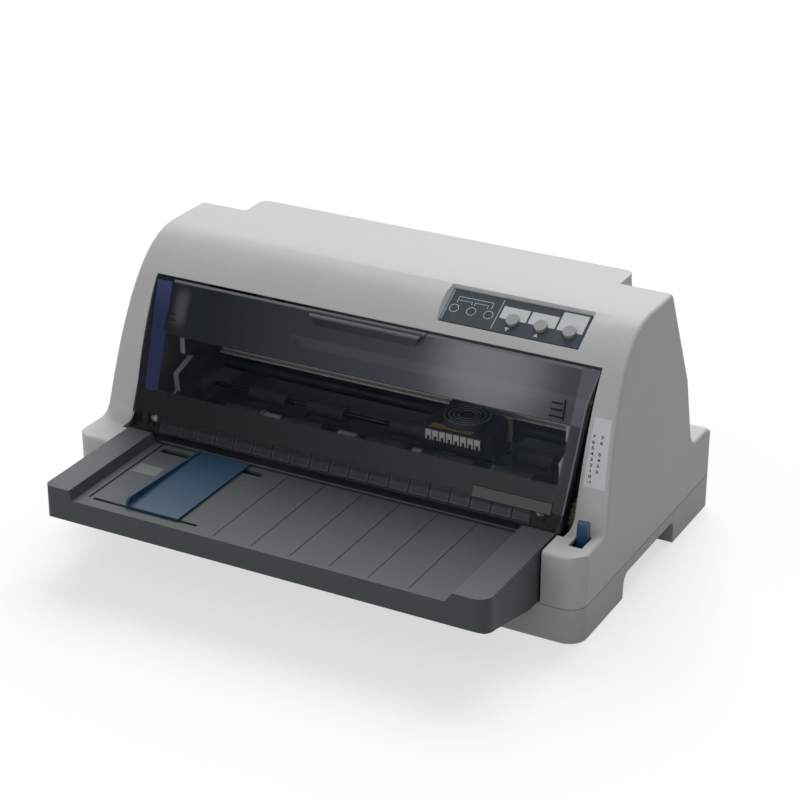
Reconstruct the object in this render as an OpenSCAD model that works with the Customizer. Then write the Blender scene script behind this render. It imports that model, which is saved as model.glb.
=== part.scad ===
// Flat-bed dot matrix printer with a smoked front cover, a front tray and a rear pin-feed tractor.
// Millimetres. X to the right, Y to the back, Z up. The origin is under the middle of the box around it.

/* [Case] */
// Width of the case
case_w = 386; // [360:1:420]
// Height of the case
case_h = 185; // [178:1:215]
// Depth from the tray's front edge to the back of the case
total_d = 306; // [290:1:330]
// Depth of the case without the tray
case_d = 231.4; // [225:0.2:260]
// Height of the seam between the two shells
seam_z = 26; // [25:0.5:29]
// Height of the side blocks beside the tray and of the ledge behind
block_z = 63.5; // [62:0.5:68]
// Wall of the moulded shells
wall = 2.5; // [2:0.1:3]
// How far each side leans in for a millimetre of height above the blocks
side_lean = 0.0757; // [0:0.001:0.1]
// Radius of the case's corners seen from above
corner_r = 13; // [8:0.5:18]
// Radius of the moulded outer edges
edge_r = 2.5; // [1:0.1:3]

/* [Front cover] */
// Width of the opening for the cover
opening_w = 339; // [320:1:350]
// Gap between the window panel's edge and the opening's edge
cover_gap = 4.5; // [4:0.1:6]
// Thickness of the smoked plastic
cover_t = 2.2; // [1.6:0.1:2.8]
// Height of the cover's top edge under the top of the case
cover_drop = 25.5; // [20:0.5:32]
// Pitch of the cells along the cover's lower edge
cell_pitch = 15.1; // [12:0.1:20]
// Pitch of the comb under the cover
comb_pitch = 1.5; // [1.3:0.1:4]

/* [Tray] */
// Width of the tray between the blocks
tray_w = 327; // [312:1:328]
// Height of the tray's surface
tray_z = 57; // [56.5:0.1:57.2]
// Height of the rails over the tray's surface
rail_h = 7; // [4:0.5:7]
// Distance between the tray's fine grooves
groove_pitch = 28.5; // [20:0.5:34]
// Width of the edge guide's plate
guide_w = 41; // [30:1:46]

/* [Mechanism] */
// Room between the cover's opening and the side frames within it
frame_gap = 20.3; // [19:0.1:24]
// Thickness of the side frames
frame_t = 1.6; // [1.2:0.1:2]
// Radius of the carriage shaft
carriage_shaft_r = 5; // [4:0.1:6]
// Place of the print head along the platen
head_x = 64; // [-60:1:110]
// Outer radius of the upper pinch rollers
pinch_r = 6; // [5:0.1:6.5]
// Spacing of the sprocket holes in continuous paper
pin_pitch = 12.7; // [12.7:0.1:12.7]
// Pins on each tractor wheel
pin_count = 6; // [6:1:6]
// Teeth of the gears on the two feed rollers
roller_teeth = 14; // [14:1:14]
// Teeth of the gear on the tractor shaft
tractor_teeth = 18; // [18:1:18]
// Running clearance on a radius
run_gap = 0.05; // [0.03:0.01:0.1]

/* [Hidden] */
$fn = 48;

// Case datums: the front of the blocks, the back of the case and the tray's front edge.
back_y = total_d / 2;
front_y = back_y - case_d;
tray_front_y = -total_d / 2;
half_w = case_w / 2;
bottom_z = 0.8;
form_t = 0.3;

// Side view of the case as one outline: block, flare, curved front, top, sloping back, ledge.
flare_r = 10;
brow_r = wall + 0.5;
flare_y = front_y + 31.4;
face_foot = [front_y + 41.2, block_z + 8.1];
face_top = [front_y + 117.4, case_h];
face_rise = (case_h - face_foot[1]) / 113.4;
top_back_y = back_y - 72;
rear_knee = [back_y - 49.4, block_z + 50.5];
ledge_r = 14;
outline_floor = -6;

// A row of n + 1 points along an arc.
function arc(centre, r, from, to, n) =
    [for (i = [0:n]) let (a = from + (to - from) * i / n) centre + r * [cos(a), sin(a)]];
// A point of a cubic curve with control points p.
function curve_point(p, t) =
    pow(1 - t, 3) * p[0] + 3 * pow(1 - t, 2) * t * p[1] + 3 * (1 - t) * t * t * p[2] + t * t * t * p[3];
face_controls = [face_foot, face_foot + face_rise * [10.6, 42.4], face_top - [45.5, 0], face_top];
function face(t) = curve_point(face_controls, t);
// The curve's parameter at height z, found by halving.
function face_at(z, lo = 0, hi = 1, n = 24) =
    n == 0 ? (lo + hi) / 2 : let (m = (lo + hi) / 2)
    face(m)[1] < z ? face_at(z, m, hi, n - 1) : face_at(z, lo, m, n - 1);

case_outline = concat(
    [[front_y, outline_floor]],
    arc([front_y + brow_r, block_z - brow_r], brow_r, 180, 90, 3),
    arc([flare_y, block_z + flare_r], flare_r, -90, -14, 5),
    [for (i = [0:14]) face(i / 14)],
    arc([top_back_y - brow_r, case_h - brow_r], brow_r, 90, 17, 3),
    [rear_knee, [back_y - 46.4, block_z + 12]],
    arc([back_y - 36, block_z + flare_r], flare_r, 185, 270, 4),
    arc([back_y - 4.2 - ledge_r, block_z - ledge_r], ledge_r, 90, 15, 5),
    [[back_y, seam_z + 1], [back_y, outline_floor]]);

// Half the case's width at height z.
function half_width(z) = half_w - side_lean * max(0, z - block_z);
// The outward direction at corner i of an outline that runs clockwise, scaled for a parallel offset.
function unit(v) = v / norm(v);
function left_of(v) = [-v[1], v[0]];
function corner_out(line, i) =
    let (n = len(line), a = left_of(unit(line[i] - line[(i + n - 1) % n])),
         b = left_of(unit(line[(i + 1) % n] - line[i])), m = unit(a + b))
    m / max(0.4, m * a);
function inset_line(line, by) = [for (i = [0:len(line) - 1]) line[i] - by * corner_out(line, i)];

// The case outline carried across the width. Each ring is [side, gap from the side plane, inset].
// Each end is closed by two flat faces that meet at the height of the blocks.
module case_loft(rings) {
    n = len(case_outline);
    front_split = 5;
    back_split = n - 9;
    last = len(rings) - 1;
    middle = [for (r = [rings[0], rings[last]]) [r[0] * (half_w - r[1]), 0, block_z - r[2]]];
    points = concat([for (r = rings) let (line = inset_line(case_outline, r[2]))
        for (p = line) [r[0] * (half_width(p[1] + r[2]) - r[1]), p[0], p[1]]], middle);
    sides = [for (j = [0:last - 1], i = [0:n - 1]) let (k = j * n, m = (i + 1) % n)
        each [[k + i, k + m, k + n + i], [k + n + i, k + m, k + n + m]]];
    ends = [for (e = [0, 1]) let (k = e * last * n, mid = (last + 1) * n + e)
        each [concat([for (i = [0:front_split]) k + i], mid, [for (i = [back_split:n - 1]) k + i]),
              concat(mid, [for (i = [front_split:back_split]) k + i])]];
    polyhedron(points, concat(sides, [ends[2], ends[3]], [for (f = [ends[0], ends[1]])
        concat(f[0], [for (i = [len(f) - 1:-1:1]) f[i]])]));
}
round_steps = [90, 60, 30, 0];
outer_rings = concat(
    [for (a = round_steps) [-1, edge_r * (1 - sin(a)), edge_r * (1 - cos(a))]],
    [for (i = [3:-1:0]) let (a = round_steps[i]) [1, edge_r * (1 - sin(a)), edge_r * (1 - cos(a))]]);
inner_rings = [[-1, wall, wall], [1, wall, wall]];

// Shapes carried along an axis.
module across(x0, x1) { translate([x0, 0, 0]) rotate([90, 0, 90]) linear_extrude(x1 - x0) children(); }
module along(y0, y1) { translate([0, y1, 0]) rotate([90, 0, 0]) linear_extrude(y1 - y0) children(); }
module box(lo, hi) { translate(lo) cube(hi - lo); }
module rod(x0, x1, y, z, r) { translate([x0, y, z]) rotate([0, 90, 0]) cylinder(h = x1 - x0, r = r); }
module post(x, y, z0, z1, r) { translate([x, y, z0]) cylinder(h = z1 - z0, r = r); }
module both_sides() { children(); mirror([1, 0, 0]) children(); }
// A rectangle with round corners, between two corner points.
module round_rect(lo, hi, r) {
    polygon(concat(arc([hi[0] - r, hi[1] - r], r, 0, 90, 8), arc([lo[0] + r, hi[1] - r], r, 90, 180, 8),
                   arc([lo[0] + r, lo[1] + r], r, 180, 270, 8), arc([hi[0] - r, lo[1] + r], r, 270, 360, 8)));
}
module case_plan(z0, z1, inset = 0) {
    translate([0, 0, z0]) linear_extrude(z1 - z0)
        round_rect([-half_w + inset, front_y + inset], [half_w - inset, back_y - inset], corner_r - inset);
}

// Openings in the case.
bay_back_y = front_y + 28.4;
block_in = tray_w / 2 + 1.7;
opening_half = opening_w / 2;
cover_half = opening_half - cover_gap;
half_f = opening_half - frame_gap;
half_fo = half_f + frame_t;
opening_top_z = case_h - cover_drop + 1.2;
guide_top_z = tray_z + 0.3;
slot_x = [half_w - 16.4, half_w - 6.8];
slot_y = [front_y + 15, front_y + 31.5];
rear_half = half_f - 7.2;

// Control panel: a flat recess in the curved front.
panel_tilt = 30;
panel_at = [face_top[0] - 35.1, case_h - 17.5];
panel_x = [opening_half - 120.5, opening_half - 20.5];
panel_len = 27.6;
plate_t = 1.2;
button_r = 4.5;
button_u = 10.7;
button_x = [for (d = [50.4, 30.1, 9.6]) panel_x[1] - d];
lens_x = [for (d = [6, 18.6, 31.2]) panel_x[0] + d];
lens_r = 2.7;
button_travel = 1;
module on_panel() { translate([0, panel_at[0], panel_at[1]]) rotate([panel_tilt, 0, 0]) children(); }
module panel_hollow() {
    on_panel() intersection() {
        across(panel_x[0] - 10, panel_x[1] + 10)
            polygon([[-0.6, -plate_t], [-1.2, 14], [panel_len + 12, 14], [panel_len + 0.5, -plate_t]]);
        translate([0, -10, 0]) along(-40, 60)
            polygon([[panel_x[0] - 0.5, -plate_t], [panel_x[0] - 6, 8], [panel_x[1] + 4, 8],
                     [panel_x[1] + 0.5, -plate_t]]);
    }
}
module panel_holes(r_more, from, to) {
    on_panel() {
        for (x = button_x) translate([x, button_u, from]) cylinder(h = to - from, r = button_r + r_more);
        for (x = lens_x) translate([x, button_u + 1, from]) cylinder(h = to - from, r = lens_r + r_more);
    }
}

// Rear bays for the sockets: [left, right, bottom, top].
inlet_bay = [-half_w + 16, -half_w + 50, 29, 54];
rocker_bay = [-half_w + 52, -half_w + 80, 31, 49];
port_bay = [rear_half - 108, rear_half - 30, 29.5, 47.5];
usb_bay = [rear_half - 24, rear_half - 6, 31, 46];
bay_floor_y = back_y - 9;
rear_bays = [inlet_bay, rocker_bay, port_bay, usb_bay];
module bay_box(b, grow, y0, y1) { box([b[0] - grow, y0, b[2] - grow], [b[1] + grow, y1, b[3] + grow]); }

// The slanted front cover, drawn flat and turned about its lower front edge.
cover_foot = [front_y + 26.7, block_z];
cover_top_z = case_h - cover_drop;
cover_top = [face(face_at(cover_top_z))[0] - 0.8, cover_top_z];
cover_len = norm(cover_top - cover_foot);
cover_tilt = atan2(cover_top[1] - cover_foot[1], cover_top[0] - cover_foot[0]);
module on_cover() { translate([0, cover_foot[0], cover_foot[1]]) rotate([cover_tilt, 0, 0]) children(); }
hinge_pos = [cover_foot[0] + 9.2, cover_foot[1] + 7];
hinge_r = 1.6;
eye_r = 2.6;
grip_half = 45;
band_u = 29;
cell_u = 12.3;

// Feed line: rollers, print line and tractor.
print_y = front_y + 98.4;
paper_z = guide_top_z;
tractor_r = pin_pitch * pin_count / 360 * 180 / PI;
roller_r = tractor_r * roller_teeth / tractor_teeth;
front_roller = [print_y - 16, paper_z - roller_r];
rear_roller = [print_y + 18, paper_z - roller_r];
front_pinch = [front_roller[0], paper_z + form_t + pinch_r];
rear_pinch = [rear_roller[0], paper_z + form_t + pinch_r];
tractor_at = [print_y + 92, paper_z - tractor_r];
tractor_rail_at = [tractor_at[0] - 19, tractor_at[1] - 3];
roller_shaft_r = 3;
roller_x = [-half_f + 45.2, -half_f + 93.2, 11, half_f - 87.2, half_f - 43.2];
roller_len = 30;
collar_x = [roller_x[0] + 24, roller_x[1] + 34, roller_x[2] + 27];

// Gears.
gear_m = 1.5;
motor_m = 1.25;
pinion_teeth = 12;
motor_gear_teeth = 30;
feed_idler_teeth = 14;
tractor_idler_teeth = 34;
gear_t = 4;
gear_x = half_fo + 1;
motor_gear_x = gear_x + gear_t + 1;
function mesh_dist(m, a, b) = m * (a + b) / 2;
// The place that is r0 from p0 and r1 from p1, under the line between them.
function below(p0, r0, p1, r1) =
    let (d = norm(p1 - p0), u = (p1 - p0) / d, a = (r0 * r0 - r1 * r1 + d * d) / (2 * d),
         h = sqrt(r0 * r0 - a * a), n = left_of(u))
    p0 + a * u - h * n;
feed_idler_at = below(front_roller, mesh_dist(gear_m, roller_teeth, feed_idler_teeth),
                      rear_roller, mesh_dist(gear_m, roller_teeth, feed_idler_teeth));
tractor_idler_at = below(rear_roller, mesh_dist(gear_m, roller_teeth, tractor_idler_teeth),
                         tractor_at, mesh_dist(gear_m, tractor_teeth, tractor_idler_teeth));
motor_angle = -80;
motor_at = rear_roller + mesh_dist(motor_m, motor_gear_teeth, pinion_teeth) * [cos(motor_angle), sin(motor_angle)];
function angle_to(a, b) = atan2(b[1] - a[1], b[0] - a[0]);
// The turn that puts a gear's gap where its neighbour, turned by p, has a tooth.
function next_turn(p, n, n2, way) = way + 180 + ((way - p) * n / 360 - 0.5) * 360 / n2;
rear_turn = 0;
feed_idler_turn = next_turn(rear_turn, roller_teeth, feed_idler_teeth, angle_to(rear_roller, feed_idler_at));
front_turn = next_turn(feed_idler_turn, feed_idler_teeth, roller_teeth, angle_to(feed_idler_at, front_roller));
tractor_idler_turn = next_turn(rear_turn, roller_teeth, tractor_idler_teeth, angle_to(rear_roller, tractor_idler_at));
tractor_turn = next_turn(tractor_idler_turn, tractor_idler_teeth, tractor_teeth, angle_to(tractor_idler_at, tractor_at));
pinion_turn = next_turn(0, motor_gear_teeth, pinion_teeth, angle_to(rear_roller, motor_at));

// Involute tooth: the angle that the flank has turned through at radius r from base radius b.
function flank(b, r) = let (t = sqrt(max(0, r * r / (b * b) - 1))) t * 180 / PI - atan(t);
backlash = 0.16;
module gear_outline(m, teeth, turn) {
    r = m * teeth / 2;
    b = r * cos(20);
    tip = r + 0.8 * m;
    root = r - 1.05 * m;
    half = 90 / teeth - backlash / (2 * r) * 180 / PI + flank(b, r);
    radii = [root, max(b, root + 0.01), r, tip];
    rotate(turn) polygon([for (k = [0:teeth - 1]) each concat(
        [for (q = radii) let (a = k * 360 / teeth - half + flank(b, max(q, b))) q * [cos(a), sin(a)]],
        [for (i = [3:-1:0]) let (q = radii[i], a = k * 360 / teeth + half - flank(b, max(q, b)))
            q * [cos(a), sin(a)]])]);
}
// A gear across X at a place in the side view, with a round bore.
module gear(x, at, m, teeth, turn, bore_r, t = gear_t) {
    translate([0, at[0], at[1]]) across(x, x + t) difference() {
        gear_outline(m, teeth, turn);
        circle(r = bore_r);
    }
}

// Carriage.
carriage_z = rear_pinch[1] + pinch_r + 0.9;
bush_t = 2.5;
shaft_at = [print_y + 32, carriage_z + carriage_shaft_r + 0.5];
rail_y = print_y + 26;
rail_z = shaft_at[1] + carriage_shaft_r + 7;
belt_y = shaft_at[0] + carriage_shaft_r + 15;
belt_z = shaft_at[1] + 4;
pulley_r = 8;
pulley_x = half_f - 18;
belt_t = 1.2;
belt_h = 6;
head_top_z = rail_z + 3;
carriage_back = shaft_at[0] + carriage_shaft_r + 4;

module lower_case() {
    arch_in = 28;
    arch = concat([[front_y + 70.4, -1]], arc([front_y + 78.4, 11], 7, 170, 90, 4),
                  arc([front_y + 152, 12], 6, 90, 0, 4), [[front_y + 158, -1]]);
    color("#b7b6b0") difference() {
        intersection() {
            case_plan(bottom_z, seam_z);
            across(-half_w, half_w) polygon([[front_y, bottom_z], [front_y, seam_z + 1], [back_y, seam_z + 1],
                [back_y - 0.5, 25], [back_y - 3, 13], [back_y - 5.5, 3.2], [back_y - 7.5, bottom_z]]);
        }
        difference() {
            case_plan(bottom_z + wall, seam_z + 1, wall);
            box([-half_w, back_y - 9, 0], [half_w, back_y, 14]);
            both_sides() across(half_w - arch_in - wall, half_w) offset(delta = wall) polygon(arch);
            for (x = [-1, 1], y = [front_y + 30, back_y - 24])
                post(x * (half_w - 30), y, 0, seam_z - 1, 4);
        }
        both_sides() across(half_w - arch_in, half_w + 1) polygon(arch);
        difference() {
            box([-half_w - 1, front_y - 1, seam_z - 0.7], [half_w + 1, back_y + 1, seam_z + 1]);
            case_plan(seam_z - 1, seam_z + 2, 0.6);
        }
        for (x = [-1, 1], y = [front_y + 30, back_y - 24]) {
            post(x * (half_w - 30), y, 0, seam_z + 1, 1.5);
            post(x * (half_w - 30), y, 0, 4, 3.2);
        }
        for (x = [-1, 1], y = foot_y) post(x * foot_x, y, 0, bottom_z + 1, foot_r + 0.1);
        for (i = [-4:4]) box([i * 9 - 1.5, front_y + 100, 0], [i * 9 + 1.5, front_y + 150, bottom_z + wall + 1]);
    }
}
foot_x = half_w - 22;
foot_y = [front_y + 16, back_y - 44];
foot_r = 8;
module rubber_feet() {
    color("#2c2c2d") for (x = [-1, 1], y = foot_y) post(x * foot_x, y, 0, bottom_z + 1, foot_r);
}

module upper_case() {
    color("#c6c6c4") difference() {
        union() {
            intersection() {
                case_loft(outer_rings);
                case_plan(seam_z, case_h + 1);
            }
            rear_lip();
        }
        case_hollow();
        lip_hollow();
        box([-block_in, front_y - 1, seam_z - 1], [block_in, bay_back_y, block_z + 1]);
        along(front_y + 24, front_y + 86)
            polygon([[-opening_half, guide_top_z - 4], [opening_half, guide_top_z - 4],
                     [opening_half, opening_top_z], [-opening_half, opening_top_z]]);
        box([slot_x[0], slot_y[0], block_z - 6], [slot_x[1], slot_y[1], block_z + 1]);
        panel_hollow();
        panel_holes(0.3, -10, 5);
        rear_mouth();
        for (b = rear_bays) bay_box(b, 0, bay_floor_y, back_y + 5);
        socket_holes();
    }
}
// The room inside the upper case: between the inner walls, beside them and behind them.
module case_hollow() {
    difference() {
        intersection() {
            case_loft(inner_rings);
            case_plan(-1, case_h, wall);
            union() {
                box([-opening_half - 0.5, bay_back_y + wall, -1], [opening_half + 0.5, back_y, case_h]);
                both_sides() box([opening_half + 0.5 + wall, front_y, -1], [half_w, back_y, case_h]);
                both_sides() box([block_in + wall, front_y, -1], [half_w, bay_back_y, case_h]);
                box([-half_w, print_y + 44, -1], [half_w, back_y, case_h]);
            }
        }
        on_panel() box([panel_x[0] - 7, -4, -plate_t - wall], [panel_x[1] + 5, panel_len + 8, 5]);
        for (b = rear_bays) bay_box(b, wall, bay_floor_y - wall, back_y);
        box([-rear_half, back_y - 19, 48.5], [rear_half, back_y, 51]);
        rod(half_w - 18, half_w, lever_at[0], lever_at[1], lever_pin_r);
    }
}
// The top reaches back in the middle as a lip with two ears, which hold the rear cover's pins.
lip_half = rear_half + 4;
lip_back = top_back_y + 22.5;
lip_drop = 9;
module rear_lip() {
    translate([0, 0, case_h - lip_drop]) linear_extrude(lip_drop)
        round_rect([-lip_half, top_back_y - 14], [lip_half, lip_back], 6);
    both_sides() across(lip_half - 2.6, lip_half) polygon([[top_back_y - 6, case_h - 4],
        [lip_back - 5, case_h - 4], [lip_back - 0.8, rear_hinge[1] - 1], [rear_hinge[0] + 1, rear_hinge[1] - 4],
        [rear_hinge[0] - 4, rear_hinge[1] - 4], [top_back_y + 2, rear_hinge[1] - 4]]);
}
module lip_hollow() {
    box([-lip_half + 2.6, top_back_y - 16, case_h - lip_drop - 10], [lip_half - 2.6, lip_back - wall, case_h - wall]);
    rod(-lip_half - 1, lip_half + 1, rear_hinge[0], rear_hinge[1], rear_pin_r + run_gap);
}
// The way in for continuous paper, under the rear cover.
module rear_mouth() {
    box([-rear_half, back_y - 53, 51], [rear_half, back_y + 1, block_z + 6]);
    box([-rear_half, back_y - 63, block_z], [rear_half, back_y + 1, case_h - 12]);
}
module socket_holes() {
    y0 = bay_floor_y - wall - 1;
    y1 = bay_floor_y + 1;
    box([inlet_bay[0] + 3, y0, inlet_bay[2] + 2.5], [inlet_bay[1] - 3, y1, inlet_bay[3] - 2.5]);
    box([rocker_bay[0] + 3, y0, rocker_bay[2] + 2], [rocker_bay[1] - 3, y1, rocker_bay[3] - 2]);
    box([port_bay[0] + 9, y0, port_bay[2] + 2.5], [port_bay[1] - 9, y1, port_bay[3] - 2.5]);
    box([usb_bay[0] + 3, y0, usb_bay[2] + 1.6], [usb_bay[1] - 3, y1, usb_bay[3] - 1.6]);
}

rail_back = cover_foot[0] - 1.7;
tray_hook_z = 50;
module front_tray() {
    rail_top = tray_z + rail_h;
    h = tray_w / 2;
    left = h + tray_left_more;
    skin = 2.4;
    slit_x = -h + 27.7;
    color("#6f7274") difference() {
        intersection() {
            tray_form(0, rail_top + 1);
            along(tray_front_y, bay_back_y) polygon([[-left, 0], [-left, rail_top], [-h + 18.7, rail_top],
                [-h + 21.1, tray_z], [h - 28.7, tray_z], [h - 23.6, rail_top], [h, rail_top], [h, 0]]);
        }
        intersection() {
            tray_form(skin, tray_z - skin);
            along(tray_front_y, rail_back - skin) polygon([[-left + skin, 0], [-left + skin, tray_z - skin],
                [h - skin, tray_z - skin], [h - skin, 0]]);
        }
        for (i = [0:5]) box([groove_x0 + i * groove_pitch - 0.3, tray_front_y + 4, tray_z - 0.5],
                            [groove_x0 + i * groove_pitch + 0.3, rail_back + 5, tray_z + 1]);
        box([slit_x - 0.9, tray_front_y + 10, tray_z - 1], [slit_x + 0.9, rail_back + 5, tray_z + 1]);
        box([guide_slot_x[0], guide_slot_y[0] - 1.6, tray_z - skin - 1], [guide_slot_x[1], guide_slot_y[0] + 1.1, tray_z + 1]);
        box([guide_slot_x[0], guide_slot_y[1] - 4.6, tray_z - skin - 1], [guide_slot_x[1], guide_slot_y[1] + 1.1, tray_z + 1]);
    }
}
// The tray's side view with round front corners in plan, drawn in by inset and cut at a top height.
module tray_form(inset, top) {
    h = tray_w / 2 - inset;
    left = h + tray_left_more;
    f = tray_front_y + inset;
    intersection() {
        across(-left, h) polygon([[f, 41 + inset], [f, top], [rail_back, top], [rail_back, tray_hook_z],
            [bay_back_y, tray_hook_z], [bay_back_y, seam_z + 0.4 + inset], [tray_front_y + 63, seam_z + 0.4 + inset],
            [tray_front_y + 40, 32 + inset], [tray_front_y + 14, 38 + inset], [f + 3, 39.6 + inset]]);
        linear_extrude(top) polygon(concat(arc([h - 10 + inset, f + 10 - inset], 10 - inset, -90, 0, 6),
            [[h, cover_foot[0] + 9], [-left, cover_foot[0] + 9]],
            arc([-left + 5 - inset, f + 5 - inset], 5 - inset, 180, 270, 6)));
    }
}
tray_left_more = 1;
groove_x0 = -tray_w / 2 + 129;
guide_slot_x = [-tray_w / 2 + 31.2, -tray_w / 2 + 112.5];
guide_slot_y = [tray_front_y + 10.6, tray_front_y + 93.6];
guide_x0 = guide_slot_x[0] + 26.3;
module edge_guide() {
    t = 1.6;
    z0 = tray_z + 0.25;
    fence_h = 6.6;
    tab = 2.1;
    y0 = guide_slot_y[0] - 1.4;
    y1 = rail_back - 0.4;
    color("#41658c") {
        box([guide_x0, y0, z0], [guide_x0 + guide_w, y1, z0 + t]);
        across(guide_x0, guide_x0 + 1.8) polygon(concat([[y1, z0], [y0 + 0.5, z0]],
            arc([y0 + 5.5, z0 + fence_h - 5], 5, 180, 92, 5), [[y1, z0 + 2.5]]));
        for (y = guide_slot_y) {
            box([guide_x0 + 2, y - tab / 2 + 0.3, tray_z - 4.2], [guide_x0 + guide_w - 8, y + tab / 2 - 0.3, z0 + 0.5]);
            box([guide_x0 + 6, y - 2.6, tray_z - 4.6], [guide_x0 + guide_w - 12, y + 2.6, tray_z - 3]);
        }
    }
}

module front_cover() {
    h = cover_half;
    top_h = opening_half - 0.5;
    back_h = h + (top_h - h) * (cover_len - cover_t) / cover_len;
    depth = 15;
    color("#4c4b55", 0.55) {
        intersection() {
            on_cover() {
                translate([0, 0, -cover_t]) linear_extrude(cover_t)
                    polygon([[-h, 0], [h, 0], [top_h, cover_len], [-top_h, cover_len]]);
                both_sides() translate([0, 0, -depth]) linear_extrude(depth - cover_t / 2)
                    polygon([[h - cover_t, 0], [h, 0], [top_h, cover_len], [top_h - cover_t, cover_len]]);
            }
            across(-half_w, half_w) polygon([cover_foot - [1, 1], cover_foot + [12.4, 0],
                [face(face_at(100))[0] + 3, 100], cover_top + [5, 0], cover_top - [3, 0]]);
        }
        on_cover() {
            translate([0, 0, -5.5]) linear_extrude(5.5)
                polygon([[-back_h, cover_len - cover_t], [back_h, cover_len - cover_t], [top_h, cover_len], [-top_h, cover_len]]);
            intersection() {
                across(-grip_half, grip_half) polygon([[cover_len - 10.5, -0.5], [cover_len - 10.2, 0.3],
                    [cover_len - 5.2, 4.4], [cover_len - 4.2, 4.9], [cover_len - 3.2, 4.5], [cover_len - 2.8, 1.2],
                    [cover_len - 1.5, 1], [cover_len - 1.1, 1.5], [cover_len, 1.2], [cover_len, -0.5]]);
                linear_extrude(20, center = true) polygon([[-grip_half, cover_len + 1],
                    [-grip_half + 7, cover_len - 12], [grip_half - 9, cover_len - 12], [grip_half, cover_len + 1]]);
            }
        }
        both_sides() for (x = [half_f - 2.6, half_fo + 0.6]) difference() {
            union() {
                rod(x, x + 2, hinge_pos[0], hinge_pos[1], 3.4);
                intersection() {
                    on_cover() box([x, 1.5, -8], [x + 2, 17, -0.5]);
                    across(x, x + 2) polygon([cover_foot, hinge_pos + [3.4, 0], hinge_pos + [3.4, 2],
                                              cover_foot + [10, 16]]);
                }
            }
        }
        both_sides() rod(half_f - 2.6, half_fo + 2.6, hinge_pos[0], hinge_pos[1], hinge_r);
    }
}
module cover_guide_ribs() {
    h = half_f - 7;
    n = floor(2 * h / cell_pitch);
    color("#55555c") on_cover() {
        box([-h, 0.6, -cover_t - 1.4], [h, band_u, -cover_t]);
        for (i = [0:n]) box([-h + i * cell_pitch, 0.6, -cover_t - 4], [-h + i * cell_pitch + 0.9, cell_u, -cover_t]);
        box([-h, cell_u - 0.5, -cover_t - 4], [h, cell_u + 0.7, -cover_t]);
    }
}
module cover_name_plate() {
    color("#6d6c5c") on_cover() box([cover_half - 65, 10, 0], [cover_half - 8.5, 17.2, 0.4]);
}

module rear_cover() {
    h = rear_half - 0.6;
    top = [back_y - 53.5, case_h - 14];
    outside = [top, [back_y - 40, case_h - 40], [back_y - 26, block_z + 18], [back_y - 22, block_z + 7]];
    inside = [for (i = [3:-1:0]) outside[i] - [2.4, 0.6]];
    color("#c6c6c4") {
        across(-h, h) polygon(concat(outside, inside));
        both_sides() across(h - 2.4, h) polygon(concat(outside, [[back_y - 54, block_z + 7]]));
        both_sides() across(h - 2.4, h) polygon([[rear_hinge[0] - 2, rear_hinge[1]],
            [rear_hinge[0] - 1, rear_hinge[1] + 2.4], top, [back_y - 52, case_h - 28], [back_y - 54, case_h - 30]]);
        both_sides() rod(h - 4, lip_half, rear_hinge[0], rear_hinge[1], rear_pin_r);
    }
}
rear_hinge = [back_y - 56.5, case_h - 17];
rear_pin_r = 1.8;

module scale_label() {
    z = [block_z + 27, block_z + 70];
    color("#e9e9ea") intersection() {
        difference() {
            across(half_w - 20.6, half_w) polygon(inset_line(case_outline, -0.2));
            across(half_w - 30, half_w + 1) polygon(case_outline);
        }
        along(front_y, face_top[0] - 20) polygon([[half_w - 20.6, z[0]], [half_width(z[0]) - 3.5, z[0]],
            [half_width(z[1]) - 3.5, z[1]], [half_w - 20.6, z[1]]]);
    }
}

lever_at = [front_y + 28.5, 34];
lever_pin_r = 3;
module thickness_lever() {
    x = [slot_x[0] + 1.2, slot_x[1] - 1.2];
    color("#2f5f8a") difference() {
        union() {
            rod(x[0], x[1], lever_at[0], lever_at[1], 6);
            across(x[0], x[1]) polygon(concat([[lever_at[0] - 3, lever_at[1]], [lever_at[0] - 3.4, block_z + 4]],
                arc([lever_at[0] - 0.4, block_z + 10], 2.4, 170, 20, 5), [[lever_at[0] + 2.4, block_z + 2],
                [lever_at[0] + 3, lever_at[1]]]));
        }
        rod(x[0] - 1, x[1] + 1, lever_at[0], lever_at[1], lever_pin_r + run_gap);
    }
}

module panel_plate() {
    color("#4b545c") difference() {
        on_panel() box([panel_x[0], 0, -plate_t], [panel_x[1], panel_len, 0]);
        panel_holes(0.3, -10, 5);
    }
}
module indicator_lenses() {
    color("#8f9a9c") on_panel() for (x = lens_x) {
        translate([x, button_u + 1, -6]) cylinder(h = 6.2, r = lens_r);
        translate([x, button_u + 1, -6]) cylinder(h = 1.6, r = lens_r + 1.2);
    }
}
board_n = -11;
module panel_board() {
    color("#2c5b3c") on_panel() {
        box([panel_x[0] + 2, 2, board_n - 1.6], [panel_x[1] - 2, panel_len - 3, board_n]);
        for (x = button_x) {
            box([x - 3, button_u - 3, board_n], [x + 3, button_u + 3, board_n + 2.4]);
            translate([x, button_u, board_n]) cylinder(h = 3.2, r = 1.7);
        }
        for (x = lens_x) translate([x, button_u + 1, board_n]) cylinder(h = 4.2, r = 2);
    }
}
module button(i) {
    color("#b0b2ae") on_panel() {
        translate([button_x[i], button_u, -6]) cylinder(h = 8.4, r = button_r);
        translate([button_x[i], button_u, -6.4]) cylinder(h = 1.6, r = button_r + 1.2);
    }
}
module button_left() { button(0); }
module button_middle() { button(1); }
module button_right() { button(2); }

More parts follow.
